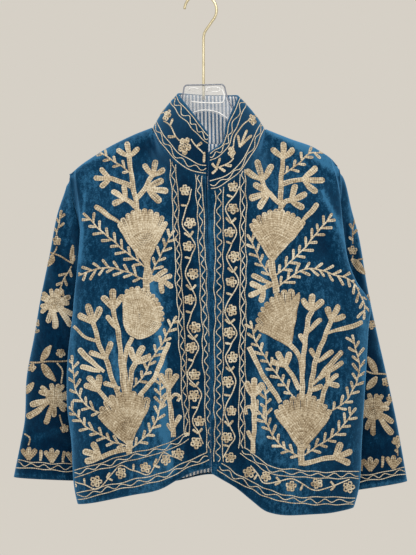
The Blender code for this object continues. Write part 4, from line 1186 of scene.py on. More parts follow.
# Ferns, as the leaf length and the points of the stalk
Fern = namedtuple("Fern", "leaf points")
FERNS = {
    "right": [Fern(*row) for row in (
        (7, ((131, 174), (116, 163), (101, 153))), (9.5, ((144, 267), (123, 250), (102, 232), (89, 219))),
        (9.5, ((144, 279), (122, 270), (103, 268), (76, 276))), (8.5, ((150, 278), (160, 257), (171, 236))),
        (8, ((133, 388), (143, 377), (151, 360), (162, 343), (173, 322))),
        (8.5, ((102, 413), (90, 408), (80, 398), (75, 385), (72, 362))),
        (8.5, ((127, 446), (111, 441), (98, 434), (87, 428), (79, 419), (71, 410))),
        (8.5, ((132, 447), (148, 435), (156, 421), (160, 406), (160, 383))))],
    "left": [Fern(*row) for row in (
        (7.5, ((284, 175), (296, 166), (309, 154), (320, 153))),
        (9.5, ((276, 275), (296, 257), (311, 241), (328, 220))),
        (9.5, ((278, 287), (295, 274), (313, 269), (334, 274), (353, 282), (363, 300), (364, 312))),
        (8.5, ((271, 278), (259, 258), (251, 241))), (8, ((293, 396), (275, 372), (259, 348), (252, 327))),
        (8.5, ((301, 457), (279, 444), (267, 423), (256, 409))), (7.5, ((266, 424), (266, 408), (265, 392))),
        (9, ((330, 412), (347, 399), (357, 380), (359, 362), (354, 342))),
        (9, ((304, 455), (326, 441), (341, 429), (352, 414))))],
}

# Filled fans: the base, the turns of the two sides, how far it reaches at even turns between them,
# its lobes, the turns that they stand between and its shade
Fan = namedtuple("Fan", "x y start end reaches lobes lobes_from lobes_to tone")
FANS = {
    "right": [Fan(*row) for row in (
        (145.5, 266, -35.5, 27.5, (50, 56, 58, 56, 48), 10, -35.5, 27.5, -0.01),
        (139, 313, -180, 180, (27, 24, 18, 16, 18, 27, 27, 24, 24, 26, 26, 25, 27), 11, -36, 112, 0.0),
        (129, 446, -48, 26, (42, 51, 55.5, 55, 51), 9, -48, 26, -0.16))],
    "left": [Fan(*row) for row in (
        (272.5, 262, -33, 41, (43, 50, 53, 53, 51), 11, -33, 41, -0.12),
        (291, 347, -62, 9, (40, 47, 53, 57, 59), 9, -62, 4, -0.13),
        (302, 452, -35.5, 38, (48, 55, 58, 55.5, 49), 10, -35.5, 38, -0.11))],
}

# Band borders: two lines with a wave between them, along a middle line
Border = namedtuple("Border", "half points period")
BORDERS = {
    "right": [Border(*row) for row in (
        (2.9, ((172.5, 150), (180, 300), (186.5, 422), (187.5, 434)), 12),
        (3.2, ((198.5, 165), (204, 300), (209, 422), (209.5, 453)), 12),
        (3.3, ((187.5, 436), (165.6, 448), (142, 454), (115, 462), (68, 476)), 17),
        (3.3, ((208, 456), (184, 466.5), (158, 478), (129, 484), (100, 491), (68, 499)), 17))],
    "left": [Border(*row) for row in (
        (4.2, ((219, 160), (219, 300), (218.5, 462)), 12),
        (2.8, ((243, 150), (243, 300), (241.5, 448)), 12),
        (3.3, ((242, 450), (254, 458), (267, 468), (280, 472), (310, 474.5), (364, 475.5)), 17),
        (3.5, ((219, 466), (232, 475), (250, 485), (266, 493), (284, 498.5), (320, 501), (364, 501)), 17))],
}

# Vines: the flowers in order along each band
VINES = {
    "right": (
        ((184.6, 190), (190, 223), (188, 246), (193, 274), (189, 300), (195, 327), (191, 348), (195, 374.5),
         (194, 396), (200, 421), (196, 443)),
        ((179, 454), (166, 460), (145, 468), (121, 473), (96, 482), (72, 487))),
    "left": (
        ((233, 186), (233, 209), (229, 232), (234.5, 257), (231, 282), (232, 310), (229, 333), (232.6, 357),
         (228.5, 382), (231.4, 411), (227.4, 437), (230, 458)),
        ((249, 473), (266, 476.5), (291, 486), (317, 484), (349, 487))),
}
FLOWER = 6.4                   # reach of a small five-petal flower, in squares


def heading(turn):
    """Unit step on the chart at a turn from straight up, in degrees clockwise."""
    return np.array([math.sin(math.radians(turn)), -math.cos(math.radians(turn))])


def turn_of(step):
    """Turn of a step on the chart, in degrees clockwise from straight up."""
    return math.degrees(math.atan2(step[0], -step[1]))


def square_to(line):
    """Unit steps square to a line on the chart."""
    along = np.gradient(line, axis=0)
    along = along / np.maximum(np.linalg.norm(along, axis=1, keepdims=True), 1e-9)
    return np.stack([-along[:, 1], along[:, 0]], 1)


PETAL_STEPS = 9
PETAL_FOOT = 0.42              # width at a petal's foot, against its full width further up
PETAL_FULL = 0.75
PETAL_PACK = 0.96              # distance of its loops, in rows
PETAL_LEAST = 0.35             # half width of the smallest loop
PETAL_MIDDLE = -0.45           # a middle row fills the petal where the next loop's would be over this


def finger(start, turn, length, width):
    """Petal: nested loops that go up one side, round the tip and back down the other."""
    start = np.asarray(start, float)
    ahead = heading(turn)
    aside = np.array([-ahead[1], ahead[0]])
    f = np.linspace(0, 1, PETAL_STEPS)[:, None]
    cap = np.radians(np.linspace(90, -90, PETAL_STEPS))[:, None]
    loops = []
    half = 0.5 * (width - ROW)
    while half > PETAL_LEAST:
        reach = length - 0.5 * width
        side = half * (PETAL_FOOT + (1 - PETAL_FOOT) * ease(f / PETAL_FULL))
        up = start + ahead * reach * f + aside * side
        tip = start + ahead * (reach + half * np.cos(cap)) + aside * half * np.sin(cap)
        down = start + ahead * reach * f[::-1] - aside * side[::-1]
        loops.append(np.concatenate([up, tip[1:-1], down]))
        half -= ROW * PETAL_PACK
    if half > PETAL_MIDDLE or not loops:
        loops.append(start + ahead * (length - ROW) * f)
    return loops


def stem(width, points):
    """Thick stem: rows side by side along a smooth line."""
    line = curve(points)
    aside = square_to(line)
    count = max(1, round(width / ROW))
    return [line + aside * ROW * (k - 0.5 * (count - 1)) for k in range(count)]


TREFOIL_WIDTH = 0.34           # petal's width against its length, between a least and a most
TREFOIL_LEAST = 4.6
TREFOIL_MOST = 6.6
TREFOIL_SIDE = 0.88            # length of the side petals


def trefoil(t):
    """Three petals from one base, the outer two a little shorter."""
    width = min(TREFOIL_MOST, max(TREFOIL_LEAST, TREFOIL_WIDTH * t.size))
    rows = finger((t.x, t.y), t.turn, t.size, width)
    for sign in (-1, 1):
        rows += finger((t.x, t.y), t.turn + sign * t.spread, TREFOIL_SIDE * t.size, width)
    return rows


FERN_FROM = 0.7                # first leaf, in pitches from the foot
FERN_UNEVEN = 0.12             # how far its leaves differ in length
FERN_END = 0.9                 # length of the leaf at its end


def fern(leaf, points, pitch=4.7, spread=44.0, width=3.1):
    """Stalk with narrow leaves to either side in turn, and one at its end."""
    line = curve(points)
    length = run_of(line)

    def place(at):
        """Point at a length along the stalk."""
        return np.array([np.interp(at, length, line[:, 0]), np.interp(at, length, line[:, 1])])

    count = max(2, int(length[-1] / pitch))
    rows = thin([line], STALK_THIN)
    for k in range(count):
        at = length[-1] * (k + FERN_FROM) / count
        turn = turn_of(place(at + 1) - place(at - 1)) + (spread if k % 2 else -spread)
        size = leaf * (1.0 + FERN_UNEVEN * ((k * 5) % 3))
        rows += thin(finger(place(at), turn, size, width), FERN_THIN)
    return rows + thin(finger(line[-1], turn_of(line[-1] - line[-3]), leaf * FERN_END, width), FERN_THIN)


FAN_STEPS = 60
FAN_OVERLAP = 6.0              # turn by which a whole round laps over its start
FAN_FILL = 0.96                # reach of the arcs, less a share where lobes stand
FAN_LOBE_ROOM = 0.22
FAN_LOBE_SOFT = 8.0            # turn over which that share comes in, to either side
FAN_PACK = 0.98                # distance of its arcs, in rows
FAN_LOBE_FROM = 0.58           # foot of a lobe, as a share of the reach
FAN_LOBE_WIDTH = 1.8032        # width of a lobe against the reach, for the sine of half its turn
FAN_SIDE = 0.9                 # reach of the row along each side
FAN_SIDE_STEPS = 20


def fan(f):
    """Filled fan: arcs from the base out, then a ring of lobes, with a row along each side."""
    base = np.array([f.x, f.y])
    reach = smooth_through(np.linspace(f.start, f.end, len(f.reaches)), f.reaches)
    whole = f.end - f.start >= 360
    turns = np.linspace(f.start, f.end + FAN_OVERLAP * whole, FAN_STEPS)
    step = np.stack([np.sin(np.radians(turns)), -np.cos(np.radians(turns))], 1)
    lobed = ease(0.5 + 0.5 * (turns - f.lobes_from) / FAN_LOBE_SOFT)
    lobed = lobed * ease(0.5 + 0.5 * (f.lobes_to - turns) / FAN_LOBE_SOFT)
    full = reach(np.minimum(turns, f.end)) * (FAN_FILL - FAN_LOBE_ROOM * lobed)
    count = int(full.max() / (ROW * FAN_PACK))
    rows = [base + step * (full * (k - 0.4) / (count - 0.4))[:, None] for k in range(1, count + 1)]
    each = (f.lobes_to - f.lobes_from) / f.lobes
    for k in range(f.lobes):
        turn = f.lobes_from + each * (k + 0.5)
        far = float(reach(turn))
        width = FAN_LOBE_WIDTH * far * math.sin(math.radians(0.5 * each))
        foot = base + heading(turn) * far * FAN_LOBE_FROM
        rows += finger(foot, turn, far * (1 - FAN_LOBE_FROM), width)
    if whole:
        rows.append(base + np.array([[-1.0, 0.0], [1.0, 0.0]]))
    else:
        for turn in (f.start, f.end):
            end = base + heading(turn) * float(reach(turn)) * FAN_SIDE
            rows.append(np.linspace(base + heading(turn), end, FAN_SIDE_STEPS))
    return rows


def thin(rows, width=THIN):
    """The same rows, sewn with narrower stitches."""
    return [np.column_stack([row, np.full(len(row), width)]) for row in rows]


def toned(rows, tone):
    """The same rows in another shade. A row gets the columns for width and shade that it lacks."""
    out = []
    for row in rows:
        plain = np.column_stack([np.ones(len(row)), np.zeros(len(row))])
        row = np.column_stack([row, plain[:, row.shape[1] - 2:]])
        out.append(row + np.array([0.0, 0.0, 0.0, tone]))
    return out


Sway = namedtuple("Sway", "side start")
BORDER_SWAYS = [Sway(*row) for row in ((1, 0.4), (-1, 2.6))]
SWAY = 0.30                    # how far a border line wanders, in a short and a long wave
SWAY_SHORT = 3.9
SWAY_LONG = 9.7
SWAY_LONG_SHARE = 0.8
WAVE_HEIGHT = 0.5              # height of the wave against the band's half width
WAVE_DRIFT = 0.9               # how far its turns drift, and over what length
WAVE_DRIFT_RUN = 17


def border(half, points, period=12.0):
    """Two lines with a wave between them, none of them quite even."""
    line = curve(points)
    aside = square_to(line)
    length = run_of(line)
    rows = []
    for line_of in BORDER_SWAYS:
        sway = np.sin(length / SWAY_SHORT + line_of.start)
        sway = sway + SWAY_LONG_SHARE * np.sin(length / SWAY_LONG + 2 * line_of.start)
        rows.append(line + aside * (line_of.side * half + SWAY * sway)[:, None])
    turn = 2 * math.pi * length / period + WAVE_DRIFT * np.sin(length / WAVE_DRIFT_RUN)
    rows.append(line + aside * (np.sin(turn) * half * WAVE_HEIGHT)[:, None])
    return toned(thin(rows), BORDER_TONE)


RING_STEPS = 16


def ring(x, y, radius):
    """Round loop about a place."""
    a = np.linspace(0, 2 * math.pi, RING_STEPS + 1)
    return np.stack([x + radius * np.sin(a), y - radius * np.cos(a)], 1)


FLOWER_KNOT = 0.14             # radius of the knot, place and radius of the petals, against the reach
FLOWER_OUT = 0.54
FLOWER_PETAL = 0.25
FLOWER_FILLED = 7              # reach past which petals have a second loop inside
FLOWER_INNER = 0.09


def flower(x, y, reach=FLOWER, petals=5, turn=0.0):
    """Small flower: loops round a knot."""
    rows = thin([ring(x, y, reach * FLOWER_KNOT)], KNOT_THIN)
    for k in range(petals):
        place = np.array([x, y]) + heading(turn + 360 * k / petals) * FLOWER_OUT * reach
        rows.append(ring(*place, reach * FLOWER_PETAL))
        if reach > FLOWER_FILLED:
            rows.append(ring(*place, reach * FLOWER_INNER))
    return rows


TWIG = 7.5                     # length and width of a vine's twigs
TWIG_WIDTH = 2.6
FORK_TURNS = (-44, 38)         # turns of a fork's two twigs, and its foot past the crossing
FORK_PAST = 2.5
VINE_LEAF = 0.85               # length of a single leaf against a twig, and its lean
VINE_LEAF_LEAN = 14
VINE_CLEAR = 0.8               # stalk clear of the flowers it passes


def vine(flowers):
    """Flowers with a winding stalk that passes them on one side and then the other, and twigs where
    it crosses between them: a fork after each second flower and a single leaf after the rest."""
    places = np.array(flowers, float)
    along = np.gradient(places, axis=0)
    along = along / np.linalg.norm(along, axis=1, keepdims=True)
    rows = []
    path = []
    for k, (place, away) in enumerate(zip(places, along)):
        rows += flower(*place, turn=40.0 * k)
        aside = np.array([-away[1], away[0]]) * (1 if k % 2 else -1)
        path.append(place + aside * (FLOWER + VINE_CLEAR))
        if k + 1 < len(places):
            middle = 0.5 * (place + places[k + 1])
            path.append(middle)
            if k % 2:
                for lean in FORK_TURNS:
                    twig = finger(middle + away * FORK_PAST, turn_of(-away) + lean, TWIG, TWIG_WIDTH)
                    rows += thin(twig, TWIG_THIN)
            else:
                turn = turn_of(-aside) + VINE_LEAF_LEAN
                rows += thin(finger(middle - away, turn, TWIG * VINE_LEAF, TWIG_WIDTH), TWIG_THIN)
    return rows + thin([curve(path)], VINE_THIN)


DAISY_PETAL = 4.8              # width of a petal
DAISY_FOOT = 0.40              # foot of the petals, and the filled middle, as shares of the reach
DAISY_MIDDLE = 0.6
DAISY_SHORT = 0.93             # length of the shortest petals, and the step to the next
DAISY_STEP = 0.07
DAISY_TURN = 9                 # turn of the first petal, and how far the turns are uneven
DAISY_UNEVEN = 4
DAISY_WIDER = 0.35             # how much wider the longer petals are


def daisy(x, y, reach, petals, lean, lean_turn):
    """Large sleeve flower: short petals round a middle filled with rings, longer and wider on the
    side that it leans to."""
    rows = []
    base = DAISY_FOOT * reach
    for k in range(petals):
        turn = 360.0 * k / petals + DAISY_TURN + DAISY_UNEVEN * (-1) ** k
        longer = lean * max(0.0, math.cos(math.radians(turn - lean_turn))) ** 4
        far = reach * (DAISY_SHORT + DAISY_STEP * (k % 3) + longer)
        start = np.array([x, y]) + heading(turn) * base
        rows += finger(start, turn, far - base, DAISY_PETAL * (1 + DAISY_WIDER * longer))
    return rows + [ring(x, y, ROW * (k + 0.5)) for k in range(round(DAISY_MIDDLE * reach / ROW))]


LEAF_STEPS = 14
LEAF_LEAST = 0.9               # half width of a leaf's smallest outline
LEAF_BULGE = 0.85              # under 1, the leaf is widest towards its foot


def leaf(x, y, tip_x, tip_y, width):
    """Pointed leaf: nested outlines and a middle row."""
    a, b = np.array([x, y], float), np.array([tip_x, tip_y], float)
    aside = np.array([-(b - a)[1], (b - a)[0]]) / np.linalg.norm(b - a)
    f = np.linspace(0, 1, LEAF_STEPS + 1)[:, None]
    rows = [a + (b - a) * f]
    half = 0.5 * (width - ROW)
    while half > LEAF_LEAST:
        bulge = half * np.sin(math.pi * f ** LEAF_BULGE)
        rows += [a + (b - a) * f + aside * bulge, a + (b - a) * f - aside * bulge]
        half -= ROW
    return rows


# Sleeves: large flowers, pointed leaves, small flowers, twigs and the cuff band
SLEEVE_FLOWER = 5.0
SLEEVE_FLOWER_TURN = 30.0      # turn from one flower to the next
SLEEVE_PITCH = 4.6             # pitch of a twig's leaves
CUFF_TURNS = (-32, 0, 32)
CUFF_PETAL = (13.5, 5.0)       # length and width
CUFF_BAR = (12.0, 3.2)
CUFF_BAR_TURN = 4
Daisy = namedtuple("Daisy", "x y reach petals lean lean_turn tone")
SLEEVE_DAISIES = {
    "right": [Daisy(*row) for row in (
        (54.5, 303, 16, 13, 0.9, 160, 0.20), (54.5, 398, 16.5, 13, 1.05, 226, 0.03))],
    "left": [Daisy(*row) for row in ((373, 409, 17.5, 13, 0.85, 156, 0.04),)],
}
SLEEVE_LEAVES = {
    "right": [Petal(*row) for row in (
        (72.5, 263, 73.5, 244, 8), (53, 254, 48, 267, 7.5), (41, 361, 51, 345, 8), (42, 364, 55, 381, 8.5),
        (24, 394, 34, 383, 7))],
    "left": [Petal(*row) for row in (
        (351, 259, 366, 275, 8), (378, 374, 367, 357, 7.5), (377, 377, 367, 390, 7.5))],
}
SLEEVE_FLOWERS = {
    "right": ((57, 241), (61, 353), (64, 428), (31, 367), (36, 323)),
    "left": ((353, 250), (372, 325), (371, 296), (386, 382), (391, 398), (397, 440)),
}
SLEEVE_TWIGS = {
    "right": [Fern(*row) for row in (
        (7, ((57, 236), (58, 228), (60, 216))), (8, ((72, 266), (66, 276), (60, 289))),
        (5, ((30, 343), (33, 338), (35, 331))))],
    "left": [Fern(*row) for row in (
        (6, ((353, 244), (353, 234), (354, 222))), (5, ((398, 456), (398, 449), (396, 442))))],
}
SLEEVE_STALKS = {
    "right": (
        ((47, 250), (60, 256), (74, 264)), ((28, 362), (50, 362), (72, 361)),
        ((57, 363), (62, 372), (61, 383)), ((60, 415), (62, 424), (64, 428)),
        ((57, 246), (56, 250), (53, 254)), ((24, 434), (30, 438), (28, 445))),
    "left": (
        ((353, 255), (352, 260), (356, 262)), ((364, 371), (376, 374), (388, 375)),
        ((355, 261), (362, 259), (366, 258))),
}
CUFF_FANS = {
    "right": ((29, 460), (51.5, 462), (74, 464)),
    "left": ((370, 470.5), (394, 469)),
}
CUFF_BARS = {
    "right": ((40, 461), (63.5, 463)),
    "left": ((382, 468), (361, 471.5)),
}
CUFF_BORDERS = {
    "right": Border(3.4, ((10, 463.6), (40, 466), (86, 468.6)), 13),
    "left": Border(3.1, ((352, 480), (378, 476), (412, 470)), 13),
    "left_behind": Border(3.1, ((340, 478.5), (378, 471.5), (414, 465)), 13),
}


def sleeve_rows(name):
    """All rows of stitches on the front of a sleeve."""
    rows = []
    for d in SLEEVE_DAISIES[name]:
        rows += toned(daisy(*d[:-1]), d.tone)
    for one in SLEEVE_LEAVES[name]:
        rows += leaf(*one)
    for k, (x, y) in enumerate(SLEEVE_FLOWERS[name]):
        rows += flower(x, y, SLEEVE_FLOWER, turn=SLEEVE_FLOWER_TURN * k)
    for one in SLEEVE_TWIGS[name]:
        rows += fern(*one, pitch=SLEEVE_PITCH)
    rows += [curve(points) for points in SLEEVE_STALKS[name]]
    for x, y in CUFF_FANS[name]:
        for turn in CUFF_TURNS:
            rows += finger((x, y), turn, *CUFF_PETAL)
    for x, y in CUFF_BARS[name]:
        rows += finger((x, y), CUFF_BAR_TURN, *CUFF_BAR)
    # sleeve thread in painted shade, the cuff border without it
    return toned(rows, SLEEVE_THREAD_SHADE) + border(*CUFF_BORDERS[name])


def front_rows(name):
    """All rows of stitches on a front."""
    rows = []
    for f in FANS[name]:
        rows += toned(fan(f), f.tone)
    for one in STEMS[name]:
        rows += stem(*one)
    for t in TREFOILS[name]:
        rows += trefoil(t)
    for p in PETALS[name]:
        step = (p.tip_x - p.x, p.tip_y - p.y)
        rows += finger((p.x, p.y), turn_of(step), math.hypot(*step), p.width)
    for one in FERNS[name]:
        rows += fern(*one)
    for one in BORDERS[name]:
        rows += border(*one)
    for flowers in VINES[name]:
        rows += vine(flowers)
    return rows


# Collar: squares along the neck edge from the centre front and up from it
COLLAR_DEGREES = 1.1           # turn for one square
COLLAR_SHARE = 0.0235          # share of the collar's height for one square
COLLAR_BORDERS = (0.145, 0.855)  # heights of its two borders, as shares of the collar's
COLLAR_BORDER_HALF = 3.5
COLLAR_BORDER_PERIOD = 15.0
COLLAR_BORDER_INSET = 1.5      # squares between the borders and the collar's ends
COLLAR_FLOWER_TURN = 25.0      # turn from one flower to the next
COLLAR_TWIG_WIDTH = 3.0
BORDER_POINTS = 40
COLLAR_VINE = ((96, -22), (128, -18), (160, -23), (192, -18), (224, -23))
COLLAR_FLOWERS = ((30.5, -26, 6.4), (71, -20.5, 6.4), (261, -23, 6.4), (298, -17.5, 8.2))
COLLAR_STALKS = (
    ((68, -24), (56, -29), (45, -29.5), (36, -27)), ((29, -20), (25, -20), (17, -21), (8, -22)),
    ((284, -18.7), (272, -20), (262, -17)), ((291, -18), (284, -18.7)), ((302, -25), (311, -23), (321, -20)),
    ((78, -20), (84, -17), (90, -21)), ((231, -22), (242, -17), (254, -22)))
COLLAR_TWIGS = (
    (42, -20, 50, -28), (42, -20, 59, -20.4), (44, -19.5, 58, -13), (9, -22, 4.5, -29), (9, -22, 15, -31),
    (10, -21, 3, -17), (12, -21, 17, -14), (18, -21, 25, -15), (272, -20, 270, -27), (284, -19, 276, -12),
    (321, -22, 322, -12), (311, -23, 316, -30), (84, -17, 88, -10), (242, -17, 238, -10),
    (242, -17, 247, -25))


def collar_rows():
    """Rows of stitches on the collar: a border along each edge, flowers and twigs between."""
    end = COLLAR_END / COLLAR_DEGREES
    across = np.linspace(COLLAR_BORDER_INSET, end - COLLAR_BORDER_INSET, BORDER_POINTS)
    rows = []
    for height in COLLAR_BORDERS:
        line = np.stack([across, np.full(BORDER_POINTS, -height / COLLAR_SHARE)], 1)
        rows += border(COLLAR_BORDER_HALF, line, COLLAR_BORDER_PERIOD)
    for k, (x, y, reach) in enumerate(COLLAR_FLOWERS):
        rows += flower(x, y, reach, turn=COLLAR_FLOWER_TURN * k)
    rows += thin([curve(points) for points in COLLAR_STALKS], COLLAR_STALK_THIN)
    for x, y, tip_x, tip_y in COLLAR_TWIGS:
        step = (tip_x - x, tip_y - y)
        twig = finger((x, y), turn_of(step), math.hypot(*step), COLLAR_TWIG_WIDTH)
        rows += thin(twig, COLLAR_TWIG_THIN)
    return rows + vine(COLLAR_VINE)


# Back hem: the bands run on round it, in squares from the middle and up from the hem
BACK_FLOWERS = [(x, -17.5 - 1.5 * (-1) ** k) for k, x in enumerate(range(-108, 132, 25))]
BACK_FROM = -125
BACK_TO = 142
BACK_BORDERS = (8.5, 26.0)
BACK_BORDER_HALF = 3.3
BACK_BORDER_PERIOD = 17.0
BACK_BORDER_POINTS = 60


def back_rows():
    """Rows of stitches along the back hem: two borders with a vine between them."""
    across = np.linspace(BACK_FROM, BACK_TO, BACK_BORDER_POINTS)
    rows = []
    for height in BACK_BORDERS:
        line = np.stack([across, np.full(BACK_BORDER_POINTS, -height)], 1)
        rows += border(BACK_BORDER_HALF, line, BACK_BORDER_PERIOD)
    return rows + vine(BACK_FLOWERS)


# Laying the chart on the cloth, and how far stitches keep from its edges
LAY_FROM = -40.0 * MM
LAY_ROUNDS = 4
FRONT_LINES = 300              # lines on a front and a sleeve between which places are read off
SLEEVE_LINES = 200
FRONT_CLEAR = (0.004, 0.985)   # shares of the way from the centre edge to the ridge
EDGE_CLEAR = 1.5 * MM
SEAM_CLEAR = 2.0 * MM
SLEEVE_CLEAR = (SLEEVE_SEWN + 0.01, 0.985)
SLEEVE_SIDE_CLEAR = 0.97
COLLAR_CLEAR = (0.03, 0.98)
COLLAR_END_CLEAR = 0.5


def laid_on(depth_at, chart):
    """Chart squares to x, depth and height, as seen from the camera's distance in front."""
    y = np.full(len(chart), LAY_FROM)
    for _ in range(LAY_ROUNDS):
        pitch = CHART_PITCH * (1 + y / CAMERA_AWAY)
        x = CAMERA_X + (chart[:, 0] - CHART_COLUMN) * pitch
        z = CAMERA_Z - (chart[:, 1] - CHART_ROW) * pitch
        y = depth_at(x, z)
    return x, y, z


def facing(depth_at, x, z, way):
    """Unit normals of a surface of depths, towards the front (minus 1) or the back (1)."""
    e = 0.5 * MM
    slope_x = (depth_at(x + e, z) - depth_at(x - e, z)) / (2 * e)
    slope_z = (depth_at(x, z + e) - depth_at(x, z - e)) / (2 * e)
    normal = np.stack([-slope_x, np.ones_like(x), -slope_z], 1) * way
    return normal / np.linalg.norm(normal, axis=1, keepdims=True)


def on_front(side):
    """Carries chart places to a front: points, normals and which of them lie on it."""
    s = np.linspace(0, RETURN_FROM, FRONT_LINES)
    tops = front_columns_top(side, s)[0]
    tops_x = front_x(side, s, tops)
    hem = hem_right if side.sign < 0 else hem_left

    def share(x, z):
        """Share of the way from the centre edge to the ridge."""
        edge = centre_edge_x(side, z)
        return (x - edge) / (ridge_x(side, z) - edge)

    def depth_at(x, z):
        """The front's own depth there."""
        here = RETURN_FROM * np.clip(share(x, z), 0, 1)
        below = np.interp(here, s, tops) - z
        return front_y(side, here, x, z, front_top(side, np.interp(here, s, tops_x), softness(below)))

    def carry(chart):
        """Points, normals, and whether each keeps clear of the edges."""
        x, y, z = laid_on(depth_at, chart)
        f = share(x, z)
        top = np.interp(RETURN_FROM * np.clip(f, 0, 1), s, tops)
        keep = (f > FRONT_CLEAR[0]) & (f < FRONT_CLEAR[1])
        keep = keep & (z < top - EDGE_CLEAR) & (z > hem(x) + EDGE_CLEAR)
        return np.stack([x, y, z], 1), facing(depth_at, x, z, -1), keep

    return carry


SLEEVE_ROUNDS = 24             # rounds that find a place on a sleeve, the small step that gives its slopes
SLEEVE_STEP = 0.002
SLEEVE_MOST = (0.1, 0.5)       # and the most that a round moves along and across


def on_sleeve(side, rows, name, way=-1):
    """Carries chart places to the front of a sleeve (way minus 1) or its back (1), by steps along
    and across it until the place agrees."""
    sizes = {key: column(rows, "along", key) for key in SleeveSection._fields[1:6]}

    def along(key, t, c):
        """Place between the inner and the outer edge, and its slope by c."""
        outer, inner = sizes["outer_" + key](t), sizes["inner_" + key](t)
        return 0.5 * (outer + inner) + 0.5 * (outer - inner) * c, 0.5 * (outer - inner)

    def place(x, z):
        """Share along the sleeve and place across it, by steps on both slopes at once."""
        lines = np.linspace(SLEEVE_SEWN, 1, SLEEVE_LINES)
        t = np.interp(-z, -along("z", lines, 0 * lines)[0], lines)
        c = np.zeros_like(x)
        for _ in range(SLEEVE_ROUNDS):
            (here_x, x_by_c), (here_z, z_by_c) = along("x", t, c), along("z", t, c)
            x_by_t = (along("x", t + SLEEVE_STEP, c)[0] - here_x) / SLEEVE_STEP
            z_by_t = (along("z", t + SLEEVE_STEP, c)[0] - here_z) / SLEEVE_STEP
            square = x_by_t * z_by_c - x_by_c * z_by_t
            square = np.where(np.abs(square) < 1e-6, 1e-6, square)
            dt = ((x - here_x) * z_by_c - (z - here_z) * x_by_c) / square
            dc = ((z - here_z) * x_by_t - (x - here_x) * z_by_t) / square
            t = np.clip(t + np.clip(dt, -SLEEVE_MOST[0], SLEEVE_MOST[0]), 0.5 * SLEEVE_SEWN, 1)
            c = np.clip(c + np.clip(dc, -SLEEVE_MOST[1], SLEEVE_MOST[1]), -1.5, 1.5)
        return t, c

    def depth_at(x, z):
        """The sleeve's own depth there."""
        t, c = place(x, z)
        c = np.clip(c, -1, 1)
        d = np.clip(1 - np.abs(c) ** (2 / SLEEVE_FLATNESS), 0, 1) ** (0.5 * SLEEVE_FLATNESS)
        return sleeve_surface(side, rows, name, t, c, -way * d)[:, 1]

    def carry(chart):
        """Points, normals, and whether each keeps clear of the edges."""
        x, y, z = laid_on(depth_at, chart)
        t, c = place(x, z)
        keep = (np.abs(c) < SLEEVE_SIDE_CLEAR) & (t > SLEEVE_CLEAR[0]) & (t < SLEEVE_CLEAR[1])
        return np.stack([x, y, z], 1), facing(depth_at, x, z, way), keep

    return carry


def on_collar(chart):
    """Carries collar squares to the collar's outside."""
    turn = chart[:, 0] * COLLAR_DEGREES
    up = -chart[:, 1] * COLLAR_SHARE
    e = 0.02
    across = collar_point(turn + 1, up) - collar_point(turn - 1, up)
    rise = collar_point(turn, up + e) - collar_point(turn, up - e)
    normal = np.cross(across, rise)
    normal = normal / np.linalg.norm(normal, axis=1, keepdims=True)
    keep = (turn > COLLAR_START + COLLAR_END_CLEAR) & (turn < COLLAR_END - COLLAR_END_CLEAR)
    keep = keep & (up > COLLAR_CLEAR[0]) & (up < COLLAR_CLEAR[1])
    return collar_point(turn, up), normal, keep


def on_back(chart):
    """Carries squares from the hem's middle to the back."""
    x = NECK_X + chart[:, 0] * CHART_PITCH
    z = hem_back(x) - chart[:, 1] * CHART_PITCH
    keep = (x > seam_x(RIGHT, z) + SEAM_CLEAR) & (x < seam_x(LEFT, z) - SEAM_CLEAR)
    return np.stack([x, back_free(x, z), z], 1), facing(back_free, x, z, 1), keep


Wave = namedtuple("Wave", "size by_x by_y start")
HAND_ACROSS = [Wave(0.45, 0.17, 0.11, 0.0), Wave(0.30, -0.23, 0.31, 2.0)]
HAND_DOWN = [Wave(0.45, -0.12, 0.15, 1.0), Wave(0.30, 0.29, 0.27, 0.0)]


def by_hand(chart):
    """Chart places moved a little by two slow waves each way, so that no line is ruled."""
    x, y = chart[:, 0], chart[:, 1]

    def wander(waves):
        """Sum of the waves at each place."""
        return sum(w.size * np.sin(w.by_x * x + w.by_y * y + w.start) for w in waves)

    return np.stack([x + wander(HAND_ACROSS), y + wander(HAND_DOWN)], 1)


